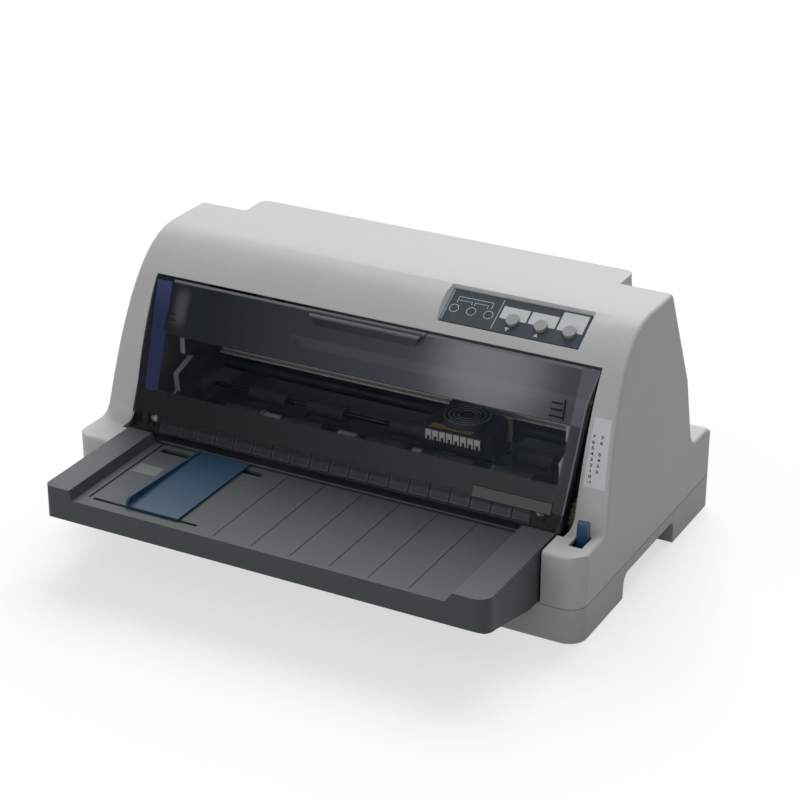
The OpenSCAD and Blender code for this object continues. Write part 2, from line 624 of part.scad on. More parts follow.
rocker_throw = 8;
rocker_pin_r = 1;
rocker_at = [bay_floor_y - 0.6, (rocker_bay[2] + rocker_bay[3]) / 2];
module rocker_housing() {
    b = rocker_bay;
    color("#1f1f20") difference() {
        union() {
            box([b[0] + 1.2, bay_floor_y, b[2] + 0.8], [b[1] - 1.2, bay_floor_y + 1.6, b[3] - 0.8]);
            box([b[0] + 3.2, bay_floor_y - 11.5, b[2] + 2.2], [b[1] - 3.2, bay_floor_y + 0.5, b[3] - 2.2]);
        }
        box([b[0] + 4.4, bay_floor_y - 7.4, b[2] + 3.2], [b[1] - 4.4, bay_floor_y + 2, b[3] - 3.2]);
        rod(b[0] + 3.6, b[1] - 3.6, rocker_at[0], rocker_at[1], rocker_pin_r + run_gap);
    }
}
module power_rocker() {
    b = rocker_bay;
    w = b[1] - b[0] - 9.2;
    color("#262627") translate([(b[0] + b[1]) / 2, rocker_at[0], rocker_at[1]]) rotate([-rocker_throw, 0, 0]) {
        across(-w / 2, w / 2) polygon([[-4.6, -1.4], [-4.6, 1.4], [-1.5, 4.4], [0.9, 4.6], [2.4, 4.2], [1.2, 0],
                                       [2.4, -4.2], [0.9, -4.6], [-1.5, -4.4]]);
        rod(-w / 2 - 1, w / 2 + 1, 0, 0, rocker_pin_r);
    }
}
module ac_inlet() {
    b = inlet_bay;
    m = (b[0] + b[1]) / 2;
    z = (b[2] + b[3]) / 2;
    color("#1c1c1d") difference() {
        union() {
            box([b[0] + 1, bay_floor_y, b[2] + 1], [b[1] - 1, bay_floor_y + 2.4, b[3] - 1]);
            box([b[0] + 3.3, bay_floor_y - 18, b[2] + 2.8], [b[1] - 3.3, bay_floor_y + 0.5, b[3] - 2.8]);
        }
        translate([m, 0, z]) along(bay_floor_y - 13, bay_floor_y + 3)
            polygon([[-11.5, -8], [11.5, -8], [11.5, 3.5], [7, 8], [-7, 8], [-11.5, 3.5]]);
    }
    color("#c0c0c0") for (p = [[-7, -2], [0, 2], [7, -2]])
        box([m + p[0] - 1, bay_floor_y - 16, z + p[1] - 2], [m + p[0] + 1, bay_floor_y - 2, z + p[1] + 2]);
}
module parallel_port() {
    b = port_bay;
    m = (b[0] + b[1]) / 2;
    z = (b[2] + b[3]) / 2;
    shell = [[-30, -5.4], [30, -5.4], [27.5, 5.4], [-27.5, 5.4]];
    color("#b9bcbf") difference() {
        union() {
            box([b[0] + 2, bay_floor_y, b[2] + 1.5], [b[1] - 2, bay_floor_y + 1, b[3] - 1.5]);
            translate([m, 0, z]) along(bay_floor_y - 11.5, bay_floor_y + 7.5) polygon(shell);
        }
        translate([m, 0, z]) along(bay_floor_y - 1, bay_floor_y + 8) polygon([for (p = shell) p * 0.94]);
    }
    color("#2a2a2c") translate([m, 0, z]) box([-25.5, bay_floor_y - 2, -2.2], [25.5, bay_floor_y + 6.5, 2.2]);
}
module usb_port() {
    b = usb_bay;
    m = (b[0] + b[1]) / 2;
    z = (b[2] + b[3]) / 2;
    color("#c3c5c8") difference() {
        box([m - 5.8, bay_floor_y - 11.5, z - 5.7], [m + 5.8, bay_floor_y + 2, z + 5.7]);
        translate([m, 0, z]) along(bay_floor_y - 9, bay_floor_y + 3)
            polygon([[-4.6, -4.4], [4.6, -4.4], [4.6, 2.6], [2.8, 4.6], [-2.8, 4.6], [-4.6, 2.6]]);
    }
    color("#f0f0ee") translate([m, 0, z]) box([-2.8, bay_floor_y - 11.2, -1.6], [2.8, bay_floor_y - 2, 1.6]);
}

chassis_z = 8;
board_z = 14;
module main_board() {
    x1 = half_f - 15.2;
    color("#2c5b3c") {
        box([x1 - 182, back_y - 90, board_z], [x1, back_y - 24, board_z + 1.6]);
        for (x = [x1 - 174, x1 - 8], y = [back_y - 84, back_y - 30]) post(x, y, chassis_z + 1.2, board_z, 3);
    }
    color("#2a2b2d") {
        box([x1 - 114, back_y - 76, board_z + 1.6], [x1 - 86, back_y - 48, board_z + 4.4]);
        box([x1 - 164, back_y - 60, board_z + 1.6], [x1 - 150, back_y - 38, board_z + 4]);
        box([x1 - 70, back_y - 66, board_z + 1.6], [x1 - 48, back_y - 52, board_z + 4]);
    }
    color("#3d4d7a") for (x = [x1 - 140, x1 - 130]) post(x, back_y - 78, board_z + 1.6, board_z + 17, 4);
}
module power_supply() {
    x0 = -half_f + 13.2;
    x1 = x0 + 78;
    y0 = print_y - 24;
    color("#a9adb0") difference() {
        box([x0, y0, chassis_z + 1.2], [x1, y0 + 62, 36]);
        box([x0 + 1.2, y0 + 1.2, chassis_z + 2.4], [x1 - 1.2, y0 + 60.8, 37]);
        for (i = [0:5]) box([x0 + 12 + i * 10, y0 - 1, 16], [x0 + 15 + i * 10, y0 + 63, 31]);
    }
    color("#5a5148") box([x0 + 10, y0 + 8, chassis_z + 2.3], [x0 + 44, y0 + 40, 34]);
    color("#3d4d7a") for (y = [y0 + 16, y0 + 44]) post(x1 - 18, y, chassis_z + 2.3, 33, 8);
}
module chassis() {
    w = half_f - 7.2;
    color("#9fa3a6") difference() {
        along(print_y - 50, print_y + 104) polygon([[-half_f, 21.6], [-w, 21.6], [-w, chassis_z], [w, chassis_z],
            [w, 21.6], [half_f, 21.6], [half_f, 22.8], [w - 1.2, 22.8], [w - 1.2, chassis_z + 1.2],
            [-w + 1.2, chassis_z + 1.2], [-w + 1.2, 22.8], [-half_f, 22.8]]);
        for (x = [-half_f + 39, -40, 40, half_f - 39]) post(x, print_y - 30, 0, 12, 12);
        box([half_f - 30, motor_at[0] - 21, 0], [half_f + 1, motor_at[0] + 21, 30]);
    }
}

module frame_outline() {
    p = print_y;
    difference() {
        polygon([[p - 50, 21.6], [p - 50, 40], [p - 34, 52], [p - 34, 66],
            hinge_pos + [1.2, -eye_r + 0.3], hinge_pos + [-1.9, -1.8], hinge_pos + [-eye_r, 0],
            hinge_pos + [-1.9, 1.8], hinge_pos + [0, eye_r], [p - 33.5, 79], [p - 34.7, 92.7], [p - 14.9, 98.8],
            [p - 24.9, 104.6], [p - 24.9, 117], [p + 56, 117], [p + 62, 96], [p + 80, 74], [p + 83, 60],
            [p + 104, 60], [p + 104, 21.6]]);
        translate(hinge_pos) circle(r = hinge_r + run_gap);
        for (c = [front_roller, rear_roller]) translate(c) circle(r = roller_shaft_r + run_gap);
        for (c = [front_pinch, rear_pinch]) translate(c) circle(r = 2 + run_gap);
        translate(tractor_at) circle(r = 4.5 + run_gap);
        translate(motor_at) circle(r = 5.2);
        translate([p + 30, 110]) circle(r = 4);
    }
}
module side_frame_left() { color("#a7abad") across(-half_fo, -half_f) frame_outline(); }
module side_frame_right() {
    color("#a7abad") {
        across(half_f, half_fo) frame_outline();
        rod(half_f, gear_x + gear_t + 0.6, feed_idler_at[0], feed_idler_at[1], 2.5);
        rod(half_f, gear_x + gear_t + 0.6, tractor_idler_at[0], tractor_idler_at[1], 3);
        difference() {
            box([pulley_x - 9, belt_y - 8, belt_z + 6.6], [half_f + 0.1, belt_y + 8, belt_z + 8.2]);
            post(pulley_x, belt_y, belt_z, belt_z + 10, 2 + run_gap);
        }
    }
}

module comb_outline() {
    h = half_f - 11;
    n = floor(2 * h / comb_pitch);
    polygon(concat([[-h, paper_z - 2]], [for (i = [0:n - 1]) let (x = -h + i * comb_pitch)
        each [[x, paper_z + 1.6], [x + comb_pitch * 0.5, paper_z + 1.6], [x + comb_pitch * 0.5, paper_z],
              [x + comb_pitch, paper_z]]], [[h, paper_z], [h, paper_z - 2]]));
}
guide_t = 2;
module roller_windows(y) {
    for (x = roller_x) box([x - roller_len / 2 - 1, y - 7.5, paper_z - 3], [x + roller_len / 2 + 1, y + 7.5, paper_z + 1]);
}
module front_paper_guide() {
    h = half_f;
    y0 = cover_foot[0] - 1.3;
    color("#3b3d41") {
        difference() {
            union() {
                box([-h, y0, paper_z - guide_t], [h, print_y - 6.2, paper_z]);
                along(y0, y0 + 1.4) comb_outline();
                box([-h, y0 + 6, paper_z - 14], [h, y0 + 8, paper_z - 1]);
            }
            roller_windows(front_roller[0]);
            for (i = [-8:8]) let (x = i * (h - 25.2) / 8) box([x, y0 + 11, paper_z - 0.6], [x + 1, print_y - 27, paper_z + 1]);
        }
    }
}
module rear_paper_guide() {
    h = half_f;
    color("#3b3d41") difference() {
        union() {
            box([-h, print_y + 6.2, paper_z - guide_t], [h, tractor_at[0] - 19.5, paper_z]);
            for (i = [-3:3]) let (x = i * (h - 29.2) / 3)
                box([x, print_y + 50, paper_z - 12], [x + 1.6, tractor_at[0] - 28, paper_z - 1]);
        }
        roller_windows(rear_roller[0]);
    }
}
module platen() {
    color("#232426") across(-half_f, half_f)
        polygon([[print_y - 5.8, paper_z - 9], [print_y - 5.8, paper_z - 0.6], [print_y - 4.8, paper_z],
                 [print_y + 4.8, paper_z], [print_y + 5.8, paper_z - 0.6], [print_y + 5.8, paper_z - 9]]);
}

module carriage_shaft() { color("#c8cbcf") rod(-half_f, half_f, shaft_at[0], shaft_at[1], carriage_shaft_r); }
module carriage_rail() {
    color("#c9c3b2") across(-half_f, half_f) polygon([[rail_y - 3, rail_z - 1.2], [rail_y - 3, rail_z],
        [rail_y + 1.8, rail_z], [rail_y + 1.8, rail_z + 14], [rail_y + 3, rail_z + 14], [rail_y + 3, rail_z - 1.2]]);
}
carriage_x = [head_x - 28, head_x + 28];
module carriage() {
    color("#26282b") difference() {
        union() {
            across(carriage_x[0], carriage_x[1]) polygon([[print_y - 14, carriage_z + 1.5],
                [print_y - 14, carriage_z + 5.5], [print_y + 16.2, head_base_z - 0.2], [print_y + 16.2, head_base_z + 6],
                [print_y + 19.5, rail_z - 2.4], [print_y + 24, rail_z - 2.4], [carriage_back, shaft_at[1] + carriage_shaft_r + 1.5],
                [carriage_back, shaft_at[1] - carriage_shaft_r - bush_t], [print_y + 26, shaft_at[1] - carriage_shaft_r - bush_t],
                [print_y + 24.6, carriage_z], [print_y + 20, carriage_z], [print_y + 18, carriage_z + 1.5]]);
            across(head_x - 24, head_x - 4) polygon([[print_y + 18, shaft_at[1]], [print_y + 18, rail_z + 3],
                [print_y + 25.5, rail_z + 3], [print_y + 25.5, rail_z + 0.4], [print_y + 22.4, rail_z + 0.4],
                [print_y + 22.4, rail_z - 1.7], [print_y + 24, rail_z - 1.7], [print_y + 24, shaft_at[1]]]);
            box([head_x - 8, carriage_back - 1, belt_z - 5], [head_x + 8, belt_y - pulley_r + 2, belt_z + 5]);
        }
        box([head_x + 15.5, print_y + 8, carriage_z + 0.5], [carriage_x[1] + 1, bracket_y + bracket_t, rail_z + 2]);
        rod(carriage_x[0] - 1, carriage_x[1] + 1, shaft_at[0], shaft_at[1], carriage_shaft_r + run_gap);
        box([head_x - 20.3, print_y - 10.3, carriage_z - 5], [head_x + 20.3, print_y + 14.3, rail_z]);
        box([head_x - 9, belt_y - pulley_r - belt_t - 0.3, belt_z - belt_h / 2 - 0.3],
            [head_x + 9, belt_y - pulley_r + 0.3, belt_z + belt_h / 2 + 0.3]);
    }
}
head_base_z = carriage_z + 7.5;
fin_centre = [head_x, print_y - 1];
module print_head() {
    color("#2b2d30") {
        difference() {
            translate([0, 0, head_base_z]) linear_extrude(head_top_z - head_base_z) polygon([for (p = [[-25, -14], [-20, -19],
                [20, -19], [25, -14], [25, 12], [19, 18], [-19, 18], [-25, 12]]) p + [head_x, print_y - 2]]);
            translate([head_x, fin_centre[1], head_top_z - 3]) cylinder(h = 4, r = 17.5);
        }
        box([head_x - 20, print_y - 10, carriage_z + 1.5], [head_x + 20, print_y + 14, head_base_z + 1]);
        across(head_x - 6, head_x + 6) polygon([[print_y - 9, carriage_z + 2], [print_y + 9, carriage_z + 2],
            [print_y + 3.5, paper_z + 1.2], [print_y - 3.5, paper_z + 1.2]]);
        translate([fin_centre[0], fin_centre[1], head_top_z - 3.2]) {
            cylinder(h = 2, r = 17.4);
            for (r = [16.6, 13.4, 10.2, 7]) difference() {
                cylinder(h = 7.6, r = r);
                translate([0, 0, -1]) cylinder(h = 10, r = r - 1.3);
            }
            cylinder(h = 6.8, r = 3.2);
            for (a = [0:45:135]) rotate(a) translate([-16.4, -0.7, 0]) cube([32.8, 1.4, 6]);
        }
    }
}
connector_n = 8;
module head_connector() {
    w = 42;
    y = print_y - 24;
    pitch = w / connector_n;
    color("#e8e8e4") {
        box([head_x - w / 2, y + 2, head_top_z - 10], [head_x + w / 2, print_y - 21, head_top_z - 0.6]);
        for (i = [0:connector_n - 1]) let (x = head_x - w / 2 + i * pitch) difference() {
            box([x + 0.5, y, head_top_z - 8.6], [x + pitch - 0.5, y + 2.1, head_top_z - 1.6]);
            box([x + 1.6, y - 1, head_top_z - 9], [x + pitch - 1.6, y + 1.4, head_top_z - 5.6]);
        }
    }
}
module ribbon_mask() {
    color("#b9bcc0") difference() {
        box([head_x - 24, print_y - 7, paper_z + 0.5], [head_x + 24, print_y + 7, paper_z + 0.9]);
        box([head_x - 8, print_y - 1.6, paper_z], [head_x + 8, print_y + 1.6, paper_z + 2]);
    }
    color("#b9bcc0") for (x = [head_x - 24, head_x + 22.8])
        across(x, x + 1.2) polygon([[print_y - 7, paper_z + 0.5], [print_y - 7, carriage_z - 4.5],
            [print_y - 12, carriage_z + 1.5], [print_y - 2, carriage_z + 1.5], [print_y + 7, paper_z + 4.7],
            [print_y + 7, paper_z + 0.5]]);
}
bracket_y = print_y + 16.5;
bracket_t = 1.4;
module carriage_bracket() {
    x = head_x + 20.5;
    color("#cfc9b8") {
        box([x - 4.5, bracket_y, carriage_z + 1.5], [x + 4.5, bracket_y + bracket_t, rail_z + 3]);
        translate([x, 0, carriage_z + 4.5]) along(bracket_y - 1.4, bracket_y + 0.1) circle(r = 2.6);
    }
}

motor_can_r = 17;
module carriage_motor() {
    x = -pulley_x;
    color("#b4b7ba") {
        difference() {
            box([-half_f, belt_y - 18, belt_z + 8.2], [x + 17.5, belt_y + 10, belt_z + 9.8]);
            post(x, belt_y, belt_z + 7, belt_z + 11, 4.2);
        }
        post(x, belt_y, belt_z + 9.8, belt_z + 40, motor_can_r);
    }
}
module pulley(x, shaft_top) {
    color("#d8d6cc") {
        post(x, belt_y, belt_z - 3.6, belt_z + 3.6, pulley_r - 0.3);
        post(x, belt_y, belt_z - 5, belt_z - 3.5, pulley_r + 2);
        post(x, belt_y, belt_z + 3.5, belt_z + 5, pulley_r + 2);
        post(x, belt_y, belt_z + 4, shaft_top, 2);
    }
}
module drive_pulley() { pulley(-pulley_x, belt_z + 9.6); }
module idler_pulley() { pulley(pulley_x, belt_z + 9); }
module timing_belt() {
    color("#1e1e20") translate([0, 0, belt_z - belt_h / 2]) linear_extrude(belt_h) difference() {
        round_rect([-pulley_x - pulley_r - belt_t, belt_y - pulley_r - belt_t],
                   [pulley_x + pulley_r + belt_t, belt_y + pulley_r + belt_t], pulley_r + belt_t - 0.01);
        round_rect([-pulley_x - pulley_r, belt_y - pulley_r], [pulley_x + pulley_r, belt_y + pulley_r],
                   pulley_r - 0.01);
    }
}

module roller(at, r, shaft_r, ends) {
    color("#6a6d70") rod(ends[0], ends[1], at[0], at[1], shaft_r);
    color("#2e3032") for (x = roller_x) rod(x - roller_len / 2, x + roller_len / 2, at[0], at[1], r);
}
module front_feed_roller() { roller(front_roller, roller_r, roller_shaft_r, [-half_fo, gear_x + gear_t]); }
module rear_feed_roller() { roller(rear_roller, roller_r, roller_shaft_r, [-half_fo, motor_gear_x + gear_t]); }
module front_pinch_rollers() {
    roller(front_pinch, pinch_r, 2, [-half_fo, half_fo]);
    color("#9aa0a3") for (x = collar_x) rod(x - 8, x + 8, front_pinch[0], front_pinch[1], pinch_r - 1.2);
}
module rear_pinch_rollers() { roller(rear_pinch, pinch_r, 2, [-half_fo, half_fo]); }

module feed_motor() {
    color("#b4b7ba") {
        rod(half_f - 24, half_f, motor_at[0], motor_at[1], 15.5);
        across(half_f - 1.4, half_f) translate(motor_at) round_rect([-20, -6], [20, 6], 5.9);
    }
}
module motor_pinion() {
    color("#c9a85c") {
        rod(half_f + 0.1, motor_gear_x, motor_at[0], motor_at[1], 2.5);
        translate([0, motor_at[0], motor_at[1]]) across(motor_gear_x, motor_gear_x + gear_t)
            gear_outline(motor_m, pinion_teeth, pinion_turn);
    }
}
module rear_roller_gear() {
    color("#dedbd0") {
        gear(gear_x, rear_roller, gear_m, roller_teeth, rear_turn, roller_shaft_r);
        translate([0, rear_roller[0], rear_roller[1]]) across(gear_x + gear_t, motor_gear_x) difference() {
            circle(r = 6);
            circle(r = roller_shaft_r);
        }
        gear(motor_gear_x, rear_roller, motor_m, motor_gear_teeth, 0, roller_shaft_r);
    }
}
module front_roller_gear() {
    color("#dedbd0") gear(gear_x, front_roller, gear_m, roller_teeth, front_turn, roller_shaft_r);
}
module feed_idler_gear() {
    color("#dedbd0") gear(gear_x, feed_idler_at, gear_m, feed_idler_teeth, feed_idler_turn, 2.5 + run_gap);
}
module tractor_idler_gear() {
    color("#dedbd0") gear(gear_x, tractor_idler_at, gear_m, tractor_idler_teeth, tractor_idler_turn, 3 + run_gap);
}

square_half = 3;
module tractor_shaft() {
    color("#c3c6c9") {
        translate([0, tractor_at[0], tractor_at[1]]) across(-half_f + 1, half_f - 1)
            square(2 * square_half, center = true);
        rod(-half_fo, -half_f + 1, tractor_at[0], tractor_at[1], 4.5);
        rod(half_f - 1, gear_x, tractor_at[0], tractor_at[1], 4.5);
    }
    color("#dedbd0") translate([0, tractor_at[0], tractor_at[1]]) across(gear_x, gear_x + gear_t)
        gear_outline(gear_m, tractor_teeth, tractor_turn);
}
module tractor_rail() {
    color("#c3c6c9") rod(-half_f, half_f, tractor_rail_at[0], tractor_rail_at[1], 3);
}

tractor_x = [-half_f + 37.2, half_f - 53.2];
cheek = [6.2, 9.2];
hub_r = 7;
module tractor_frame(x, side) {
    t = tractor_at;
    color("#3a3c40") translate([x, 0, 0]) scale([side, 1, 1]) {
        for (s = [-1, 1]) across(min(s * cheek[0], s * cheek[1]), max(s * cheek[0], s * cheek[1])) difference() {
            polygon([t + [-23, -9], t + [-23, 3], t + [-17, 11.6], t + [17, 11.6], t + [20, 4], t + [16, -17],
                     t + [-16, -17]]);
            translate(t) circle(r = hub_r + run_gap);
            translate(tractor_rail_at) circle(r = 3 + run_gap);
        }
        across(-cheek[1], cheek[1]) polygon([t + [-16, -19], t + [-16, -17], t + [16, -17], t + [16, -19]]);
        across(cheek[0], cheek[1]) polygon([t + [-14, 11], t + [-14, 17], t + [-8, 17], t + [-8, 11]]);
        across(cheek[0], cheek[1]) polygon([t + [8, 11], t + [8, 17], t + [14, 17], t + [14, 11]]);
    }
}
module tractor_wheel(x) {
    t = tractor_at;
    color("#d8d6cc") translate([x, t[0], t[1]]) difference() {
        union() {
            rotate([0, 90, 0]) cylinder(h = 11.6, r = tractor_r - 0.3, center = true);
            rotate([0, 90, 0]) cylinder(h = 2 * cheek[1] - 0.2, r = hub_r, center = true);
            for (i = [0:pin_count - 1]) rotate([i * 360 / pin_count, 0, 0])
                translate([0, 0, tractor_r - 1]) cylinder(h = 3.2, r1 = 1.9, r2 = 1.1, $fn = 16);
        }
        across(-12, 12) square(2 * square_half + 0.2, center = true);
    }
}
module tractor_lid(x, side) {
    t = tractor_at;
    z = t[1] + 13.6;
    color("#3a3c40") translate([x, 0, 0]) scale([side, 1, 1]) {
        difference() {
            box([-12, t[0] - 17, z], [cheek[0] - 1, t[0] + 11.5, z + 1.8]);
            box([-3, t[0] - 13, z - 1], [3, t[0] + 8.5, z + 3]);
        }
        box([cheek[0] - 1.4, t[0] - 7.4, z], [cheek[1], t[0] + 7.4, z + 1.8]);
        translate([(cheek[0] + cheek[1]) / 2, 0, t[1] + 15.2]) along(t[0] - 7.5, t[0] + 7.5) circle(r = 1.4);
    }
}
module tractor_frame_left() { tractor_frame(tractor_x[0], -1); }
module tractor_frame_right() { tractor_frame(tractor_x[1], 1); }
module tractor_wheel_left() { tractor_wheel(tractor_x[0]); }
module tractor_wheel_right() { tractor_wheel(tractor_x[1]); }
module tractor_lid_left() { tractor_lid(tractor_x[0], -1); }
module tractor_lid_right() { tractor_lid(tractor_x[1], 1); }

module case_screws() {
    color("#8f9295") for (x = [-1, 1], y = [front_y + 30, back_y - 24]) {
        post(x * (half_w - 30), y, 1.6, 3.8, 2.9);
        post(x * (half_w - 30), y, 3.5, 20, 1.45);
    }
}

lower_case();
upper_case();
rubber_feet();
front_tray();
edge_guide();
front_cover();
cover_guide_ribs();
cover_name_plate();
rear_cover();
scale_label();
thickness_lever();
panel_plate();
indicator_lenses();
panel_board();
button_left();
button_middle();
button_right();
rocker_housing();
power_rocker();
ac_inlet();
parallel_port();
usb_port();
main_board();
power_supply();
chassis();
side_frame_left();
side_frame_right();
front_paper_guide();
rear_paper_guide();
platen();
carriage_shaft();
carriage_rail();
carriage();
print_head();
head_connector();
ribbon_mask();
carriage_bracket();
carriage_motor();
drive_pulley();
idler_pulley();
timing_belt();
front_feed_roller();
rear_feed_roller();
front_pinch_rollers();
rear_pinch_rollers();
feed_motor();
motor_pinion();
rear_roller_gear();
front_roller_gear();
feed_idler_gear();
tractor_idler_gear();
tractor_shaft();
tractor_rail();
tractor_frame_left();
tractor_frame_right();
tractor_wheel_left();
tractor_wheel_right();
tractor_lid_left();
tractor_lid_right();
case_screws();
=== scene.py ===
"""The looks of a flat-bed dot matrix printer: moulded ABS shells, a smoked acrylic cover and the works behind it.

Lengths here are millimetres and angles degrees, as on the drawing. Blender gets metres and radians.
"""

import math

import bpy
from mathutils import Matrix, Vector
from mathutils.bvhtree import BVHTree


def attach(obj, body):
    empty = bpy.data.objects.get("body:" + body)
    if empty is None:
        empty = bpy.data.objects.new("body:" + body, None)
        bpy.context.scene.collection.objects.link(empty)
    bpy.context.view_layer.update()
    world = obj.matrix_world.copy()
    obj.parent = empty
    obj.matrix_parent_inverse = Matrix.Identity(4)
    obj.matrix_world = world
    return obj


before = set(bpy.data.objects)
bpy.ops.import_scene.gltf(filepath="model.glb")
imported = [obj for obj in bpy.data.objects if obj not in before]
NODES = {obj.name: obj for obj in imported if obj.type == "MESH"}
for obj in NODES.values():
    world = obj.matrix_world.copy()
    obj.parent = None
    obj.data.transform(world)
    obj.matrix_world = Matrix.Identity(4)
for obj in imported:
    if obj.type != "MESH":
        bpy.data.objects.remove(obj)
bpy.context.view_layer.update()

# The camera was fitted to the corners of the case.
LENS, SENSOR = 103.55, 36
AZIMUTH, ELEVATION, ROLL = 28.117, 25.219, 0.0987
TARGET = Vector((14.866, 13.403, 97.247))
DISTANCE = 1572.5

# Lamps: name, strength, angle that the lamp covers, and where it stands as seen from the printer. The first is a very
# large softbox above the printer, behind its middle and a little to its left, the second a weak fill from the front.
LAMPS = (
    ("softbox", 2.75, 50, (-0.16, 0.68, 0.71)),
    ("fill", 1.0, 80, (-0.5, -0.83, 0.25)),
)
# The studio around them is white where it is seen, and lights the printer more weakly than that.
STUDIO_LIGHT = 0.34
# The floor is partly lit, to keep the printer's shadow, and partly white of its own. It throws little light back.
FLOOR_REACH = 6000
FLOOR_ALBEDO, FLOOR_BOUNCE = 0.88, 0.35
FLOOR_OWN_SHARE, FLOOR_OWN_LIGHT = 0.6, 1.06

# Datums that the CAD shares with the added pieces and the patterns.
COVER_FOOT, COVER_TILT = Vector((0, -51.7, 63.5)), 63.6
PANEL_FOOT, PANEL_TILT = Vector((0, 3.9, 167.5)), 30
TRAY_TOP = 57.0
BLOCK_TOP = 63.5
HEAD_TOP = 91.0
INDICATORS, INDICATOR_UP = (55, 67.6, 80.2), 11.7
HINGE_X, HINGE_Y, HINGE_Z = 148.7, -42.5, 70.5
# The rollers' axes, and how far from them their shafts show.
FRONT_ROLLERS_Y, REAR_ROLLERS_Y, PINCH_Z, FEED_Z = 4, 38, 63.6, 47.87
PINCH_SHAFT, FEED_SHAFT = 2.3, 4.4
# Heights where a colour changes: the comb's pale tips, the rail's upright, painted dark as painted shade, and the
# head's fin tips, painted grey as a painted highlight.
COMB_TIPS, RAIL_UPRIGHT_SHADE, FIN_TIPS = 58.3, 88.8, 94.9
# Farther back than this, the gaps between the terminals are painted dark, as painted shade.
TERMINAL_GAP_SHADE = -2.9
# Parts on the boards stand above these heights, the panel board's being measured from the panel's face.
MAIN_BOARD_TOP, PANEL_BOARD_TOP = 14.0, -10.7
# Directions, the angle above which an edge stays crisp, and how near points are joined first.
UP, BACK = (0, 0, 1), (0, 1, 0)
CORNER, WELD = 35, 0.005

# The sizes that patterns repeat at.
FLOW_MARKS, PLATING_CLOUDS, RUBBER_BLOOM, GRINDING_MARKS = 70, 14, 9, 0.7
PAD_GRID, TRACK_RUNS, LENS_CLOUDS, FLOW_STREAKS, ETCHING, PRINT_SPECKLE = 5.08, 26, 1.5, 1.2, 0.8, 1.1


def mm(*v):
    """A point in millimetres as a vector in metres."""
    return Vector(v) / 1000


def linear(code):
    """An sRGB hex colour as the linear RGBA that shaders take."""
    parts = [int(code[i : i + 2], 16) / 255 for i in (1, 3, 5)]
    return [c / 12.92 if c <= 0.04045 else ((c + 0.055) / 1.055) ** 2.4 for c in parts] + [1.0]


def grey(level):
    return (level, level, level, 1)


def add(tree, kind, inputs=None, **settings):
    """Adds a shader node. Each input is a plain value, a node whose first output is linked to it, or an output."""
    made = tree.nodes.new("ShaderNode" + kind)
    for name, value in settings.items():
        setattr(made, name, value)
    for name, value in (inputs or {}).items():
        if isinstance(value, bpy.types.Node):
            value = value.outputs[0]
        if isinstance(value, bpy.types.NodeSocket):
            tree.links.new(value, made.inputs[name])
        else:
            made.inputs[name].default_value = value
    return made


def made_of(faces, points, name, material):
    """A mesh object from points in millimetres and faces."""
    mesh = bpy.data.meshes.new(name)
    mesh.from_pydata([mm(*p) for p in points], [], faces)
    mesh.materials.append(material)
    made = bpy.data.objects.new(name, mesh)
    scene.collection.objects.link(made)
    return made


# Camera, lamps, studio and floor


def aim(azimuth, elevation, roll):
    """The turn of a camera that looks at the printer from an azimuth and elevation."""
    return (
        Matrix.Rotation(math.radians(azimuth), 4, "Z")
        @ Matrix.Rotation(math.radians(90 - elevation), 4, "X")
        @ Matrix.Rotation(math.radians(roll), 4, "Z")
    )


scene = bpy.context.scene
scene.view_settings.view_transform = "Standard"

camera_data = bpy.data.cameras.new("studio_camera")
camera_data.lens, camera_data.sensor_width = LENS, SENSOR
camera_data.clip_start, camera_data.clip_end = 0.05, 50
camera = bpy.data.objects.new("studio_camera", camera_data)
camera_turn = aim(AZIMUTH, ELEVATION, ROLL)
camera.matrix_world = Matrix.Translation(mm(*TARGET) + camera_turn @ mm(0, 0, DISTANCE)) @ camera_turn
scene.collection.objects.link(camera)
scene.camera = camera

for lamp_name, strength, covers, stands in LAMPS:
    lamp_data = bpy.data.lights.new(lamp_name, "SUN")
    lamp_data.energy, lamp_data.angle = strength, math.radians(covers)
    lamp = bpy.data.objects.new(lamp_name, lamp_data)
    lamp.rotation_euler = Vector(stands).to_track_quat("Z", "Y").to_euler()
    scene.collection.objects.link(lamp)


def seen_directly(tree):
    """1 for camera, glossy and transmission rays, which all show the white studio, and 0 for light on the printer."""
    path = add(tree, "LightPath")
    rays = {0: path.outputs["Is Glossy Ray"], 1: path.outputs["Is Transmission Ray"]}
    mirrored = add(tree, "Math", rays, operation="MAXIMUM")
    return add(tree, "Math", {0: path.outputs["Is Camera Ray"], 1: mirrored}, operation="MAXIMUM")


scene.world = bpy.data.worlds.new("studio")
scene.world.use_nodes = True
studio_tree = scene.world.node_tree
studio_tree.nodes.clear()
studio_lit = add(studio_tree, "Background", {"Color": grey(1), "Strength": STUDIO_LIGHT})
studio_seen = add(studio_tree, "Background", {"Color": grey(1), "Strength": 1.0})
studio = add(studio_tree, "MixShader", {"Fac": seen_directly(studio_tree), 1: studio_lit, 2: studio_seen})
add(studio_tree, "OutputWorld", {"Surface": studio})

